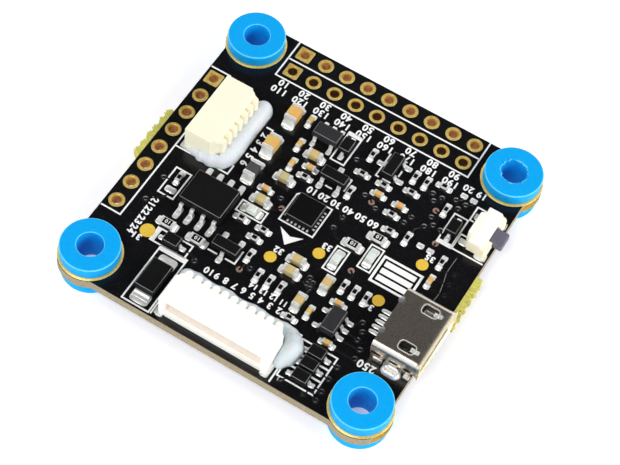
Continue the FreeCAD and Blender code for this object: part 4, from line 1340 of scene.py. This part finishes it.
def usb_outline(y, half, low, high, grow, steps=6):
    """The shell's section: wide on top with round shoulders, its lower corners cut off."""
    half, low, high, shoulder = half + grow, low - grow, high + grow, 0.62
    right = [(y + half - 0.75, low), (y + half - 0.04, low + 0.66), (y + half, low + 0.76)]
    right += arc(y + half - shoulder, high - shoulder, shoulder, shoulder, 0, 90, steps)
    left = [(2 * y - px, pz) for px, pz in reversed(right)]
    return right + left


def usb_shell():
    """Folded sheet steel: a sleeve with a flared mouth, latch windows and two pressed dimples."""
    low, high = box_of("usb_shell")
    y, back, front = (low.y + high.y) / 2, low.x, high.x
    mouth = front - USB_LIP
    base, roof = TOP + 0.12, TOP + 2.6
    shape = Shape()
    stations = [(back, 0.0), (back + 0.02, 0.0), *((mouth + ahead, grow) for ahead, grow in FLARE),
                (front - 0.02, 0.2), (front, 0.21)]
    walls = stations + [(x, grow - USB_SHEET) for x, grow in reversed(stations)]
    skin = [[(x, py, pz) for py, pz in usb_outline(y, USB_HALF, base, roof, grow)] for x, grow in walls]
    shape.loft(skin + skin[:1], "shell", closed=False)
    bmesh.ops.remove_doubles(shape.bm, verts=shape.bm.verts, dist=1e-4)
    bmesh.ops.recalc_face_normals(shape.bm, faces=shape.bm.faces)
    cutters = []
    for side in (-1, 1):
        window_y = y + side * WINDOW_OUT
        for outline in (window(WINDOW_X, window_y, 1.6, 1.0, 0.3), oblong(SLOT_X, window_y, 1.0, 0.56),
                        arc(back + 0.1, y + side * DIMPLE_OUT, 0.36, 0.36, 0, 337.5, 15)):
            cutters.append(prism(outline, roof - 0.5, roof + 0.3))
    sleeve = rounded(carve(shape.bm, cutters), 0.03, 2, 40.0)
    whole = Shape()
    # faces ahead of the mouth take the flare look, a painted highlight on the lip
    plain, flare = whole.index("shell"), whole.index("flare")
    for face in sleeve.faces:
        face.material_index = flare if face.calc_center_median().x > mouth + 0.02 else plain
    whole.absorb(sleeve)
    usb_feet(whole, y)
    whole.stand_for("usb_shell", "pewter_shell", 40.0)
    usb_springs(y, roof, back)


def usb_feet(shape, y):
    """Side feet on the board, and the two legs that go through it."""
    leg_low = box_of("usb_shell")[0].z
    for side in (-1, 1):
        outer = y + side * USB_HALF
        y0, y1 = sorted((outer, outer - side * USB_SHEET))
        for x0, x1 in FEET:
            shape.block((x0, y0, TOP + 0.02), (x1, y1, TOP + 1.3), "shell", 0.05)
        shape.block((LEG[0], y0, leg_low), (LEG[1], y1, TOP + 1.3), "shell", 0.05)
        y0, y1 = sorted((outer + side * 0.38, outer - side * 0.1))
        shape.block((13.55, y0, TOP + 0.02), (14.6, y1, TOP + 0.85), "shell", 0.14, 3)
        shape.block((16.95, y0, TOP + 0.02), (17.6, y1, TOP + 0.3), "lead", 0.08)
        leg_solder(shape, 15.75, outer + side * 0.42)


def leg_solder(shape, x, y):
    """An oval collar of solder round a leg, hollow on top."""
    rings = []
    for length, width, height in ((2.1, 1.3, 0.0), (2.05, 1.26, 0.1), (1.8, 1.0, 0.32), (1.5, 0.7, 0.4),
                                  (1.25, 0.46, 0.34), (1.1, 0.3, 0.2)):
        rings.append([(px, py, TOP + height) for px, py in oblong(x, y, length, width)])
    shape.loft(rings, "tin")


def usb_springs(y, roof, back):
    """Bright latch leaves in the windows and the bottoms of the pressed dimples."""
    shape = Shape()
    for side in (-1, 1):
        window_y = y + side * WINDOW_OUT
        leaf = brick((16.55, window_y - 0.24, roof - 0.2), (17.5, window_y + 0.24, roof - 0.06), 0.05)
        bmesh.ops.rotate(leaf, verts=leaf.verts, cent=(17.5, window_y, roof - 0.06),
                         matrix=Matrix.Rotation(math.radians(-7 if side > 0 else 5), 3, "Y"))
        shape.absorb(leaf, "tin")
        circle = arc(back + 0.12, y + side * DIMPLE_OUT, 0.34, 0.34, 0, 337.5, 15)
        shape.absorb(rounded(prism(circle, roof - 0.3, roof - 0.1), 0.04), "spring")
        # a bright tin ring round each window: a painted highlight on the window's edge
        rim = window(WINDOW_X, window_y, 1.74, 1.14, 0.36)
        shape.ribbon(rim, 0.14, roof - 0.05, 0.07, "tin", True, 0.03)
    curl_y = y + WINDOW_OUT
    shape.block((15.55, curl_y - 0.3, roof - 0.75), (16.75, curl_y + 0.3, roof - 0.5), "spring", 0.1, 3)
    shape.finish("usb_latch_leaves", "spring_steel", 40.0)


# ---------------------------------------------------------------- chip resistors and lamps
def film_resistors(prefix, inset, digits=""):
    """White ceramic bricks with a window of black glaze on top, and a number if they carry one."""
    shape = Shape()
    for low, high in solids(prefix + "_bodies"):
        shape.block(low, (high.x, high.y, high.z - 0.03), "alumina", 0.02)
        along_x = high.x - low.x > high.y - low.y
        pull_x, pull_y = inset if along_x else reversed(inset)
        shape.block((low.x + pull_x, low.y + pull_y, high.z - 0.06),
                    (high.x - pull_x, high.y - pull_y, high.z), "glaze", 0.015)
        if digits:
            x, y = middle((low, high)).xy
            print_digits(shape, digits, x, y, 0.42, 180.0 if along_x else 90.0, 0.006, high.z - INK_T / 2)
    shape.stand_for(prefix + "_bodies", "black_glaze")


DIE_HALF = 0.13
BOND_PAD = (0.1, 0.3)       # half the size of a bond pad, along the lamp and across it
BOND_OUT = 0.34


def lamp_insides():
    """The die, its bond pads and the green cathode print, seen through the lens."""
    shape = Shape()
    for low, high in solids("led_bases"):
        x, y = middle((low, high)).xy
        floor = high.z - 0.01
        along_x = high.x - low.x > high.y - low.y
        shape.block((x - DIE_HALF, y - DIE_HALF, floor), (x + DIE_HALF, y + DIE_HALF, floor + 0.1),
                    "pad_gold", 0.02)
        rx, ry = BOND_PAD if along_x else reversed(BOND_PAD)
        for side in (-1, 1):
            px, py = (x + BOND_OUT * side, y) if along_x else (x, y + BOND_OUT * side)
            shape.block((px - rx, py - ry, floor), (px + rx, py + ry, floor + 0.03),
                        "pale_green" if side > 0 else "tan", 0.008)
    shape.finish("led_dies", "gold_plating")


# ---------------------------------------------------------------- moulded packages
def moulded(node, look, slot, draft=0.07, dimple=0.0):
    """Plastic packages that taper both ways from their parting line, with a dimple at the first lead."""
    shape = Shape()
    for low, high in solids(node):
        rings = []
        parting = low.z + 0.45 * (high.z - low.z)
        for z, pull in ((low.z, draft), (parting, 0.0), (high.z, draft)):
            x0, x1, y0, y1 = low.x + pull, high.x - pull, low.y + pull, high.y - pull
            rings.append([(x0, y0, z), (x1, y0, z), (x1, y1, z), (x0, y1, z)])
        package = Shape()
        package.loft(rings, look)
        body = rounded(package.bm, 0.04, 1, 30.0)
        body.normal_update()
        if dimple:
            under = high.z < UNDER + 0.5
            face = low.z if under else high.z
            mark = arc(low.x + 2.2 * dimple, high.y - 2.2 * dimple, dimple, dimple, 0, 345, 23)
            body = carve(body, [prism(mark, face - 0.03, face + 0.03)])
        # faces sloping between top and side take a paler look: a painted highlight along the package
        # edges
        plain, pale_edge = shape.index(look), shape.index("scuffed")
        for face in body.faces:
            face.material_index = pale_edge if 0.3 < abs(face.normal.z) < 0.97 else plain
        shape.absorb(body)
    shape.stand_for(node, slot, 30.0)


# node: look, record slot, how far it tapers, radius of the dimple if it has one
PACKAGES = {
    "small_diode_bodies": ("epoxy", "black_epoxy", 0.05),
    "transistor_bodies": ("epoxy", "black_epoxy"),
    "regulator_bodies": ("grey_epoxy", "grey_epoxy"),
    "input_diode_body": ("epoxy", "black_epoxy", 0.09),
    "memory_chip_body": ("epoxy", "black_epoxy", 0.09, 0.2),
    "motion_sensor_body": ("sensor_epoxy", "black_epoxy", 0.015, 0.12),
    "microcontroller_body": ("epoxy", "black_epoxy", 0.09, 0.3),
}


# ---------------------------------------------------------------- chips and connectors
# look, record slot, and the CAD nodes that take them with their edge radius
ROUNDED_NODES = [
    ("amber", "amber_ceramic", {"small_capacitor_bodies": 0.04, "large_capacitor_bodies": 0.06}),
    ("tan", "tan_ceramic", {"medium_capacitor_bodies": 0.05, "underside_capacitor_bodies": 0.04}),
    ("ferrite", "grey_ferrite", {"ferrite_bead_bodies": 0.06}),
    ("tin", "solder_tin", {
        "small_resistor_ends": 0.05, "large_resistor_ends": 0.06, "small_capacitor_ends": 0.06,
        "medium_capacitor_ends": 0.08, "large_capacitor_ends": 0.1, "ferrite_bead_ends": 0.1,
        "underside_capacitor_ends": 0.06, "led_ends": 0.03, "motion_sensor_leads": 0.01,
        "usb_leg_eyelets": 0.015,
    }),
    ("white", "white_resin", {"led_bases": 0.02}),
    ("lens", "clear_resin", {"led_lenses": 0.06}),
    ("lead", "solder_tin", {
        "small_diode_leads": 0.03, "transistor_leads": 0.03, "regulator_leads": 0.03,
        "input_diode_leads": 0.04, "memory_chip_leads": 0.04, "microcontroller_leads": 0.03,
        "usb_contacts": 0.02, "boot_switch_terminals": 0.03, "front_socket_contacts": 0.03,
        "front_socket_solder_tabs": 0.04, "left_socket_contacts": 0.03,
        "left_socket_solder_tabs": 0.04,
    }),
    ("nickel", "nickel_can", {"crystal": 0.08}),
    ("nylon", "black_nylon", {"usb_insulator": 0.05}),
    ("cream", "cream_nylon", {"boot_switch_housing": 0.05}),
    ("ivory", "cream_nylon", {"boot_switch_cover": 0.08}),
]


def make_parts():
    for look, slot, nodes in ROUNDED_NODES:
        for node, radius in nodes.items():
            rounded_copy(node, look, slot, radius)
    rounded_copy("boot_switch_plunger", "plunger", "grey_plunger", 0.08, 3, "boot_button")
    dome = rounded_copy("boot_switch_dome", "spring", "spring_steel", 0.01)
    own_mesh(dome)


make_camera()
make_lights()
make_floor()
board()
# the holes' insides take painted shade, darker in the inner row
header("rear_outer_header_eyelets", "barrel")
header("rear_inner_header_eyelets", "dark_barrel")
header("left_header_eyelets", "barrel")
corner_rings()
test_pads()
vias()
copper_plane()
for corner in ("front_left", "front_right", "rear_left", "rear_right"):
    grommet("grommet_" + corner, torn=corner == "rear_right")
solder_joints()
printing()
sockets()
glue("front_socket_glue", "clear_silicone", "clear_glue", FRONT_GLUE, "front_socket_housing")
glue("left_socket_glue", "white_silicone", "white_glue", LEFT_GLUE, "left_socket_housing")
usb_shell()
film_resistors("small_resistor", (0.03, 0.05))
film_resistors("large_resistor", (0.04, 0.07), "10")
lamp_insides()
for node, how in PACKAGES.items():
    moulded(node, *how)
make_parts()
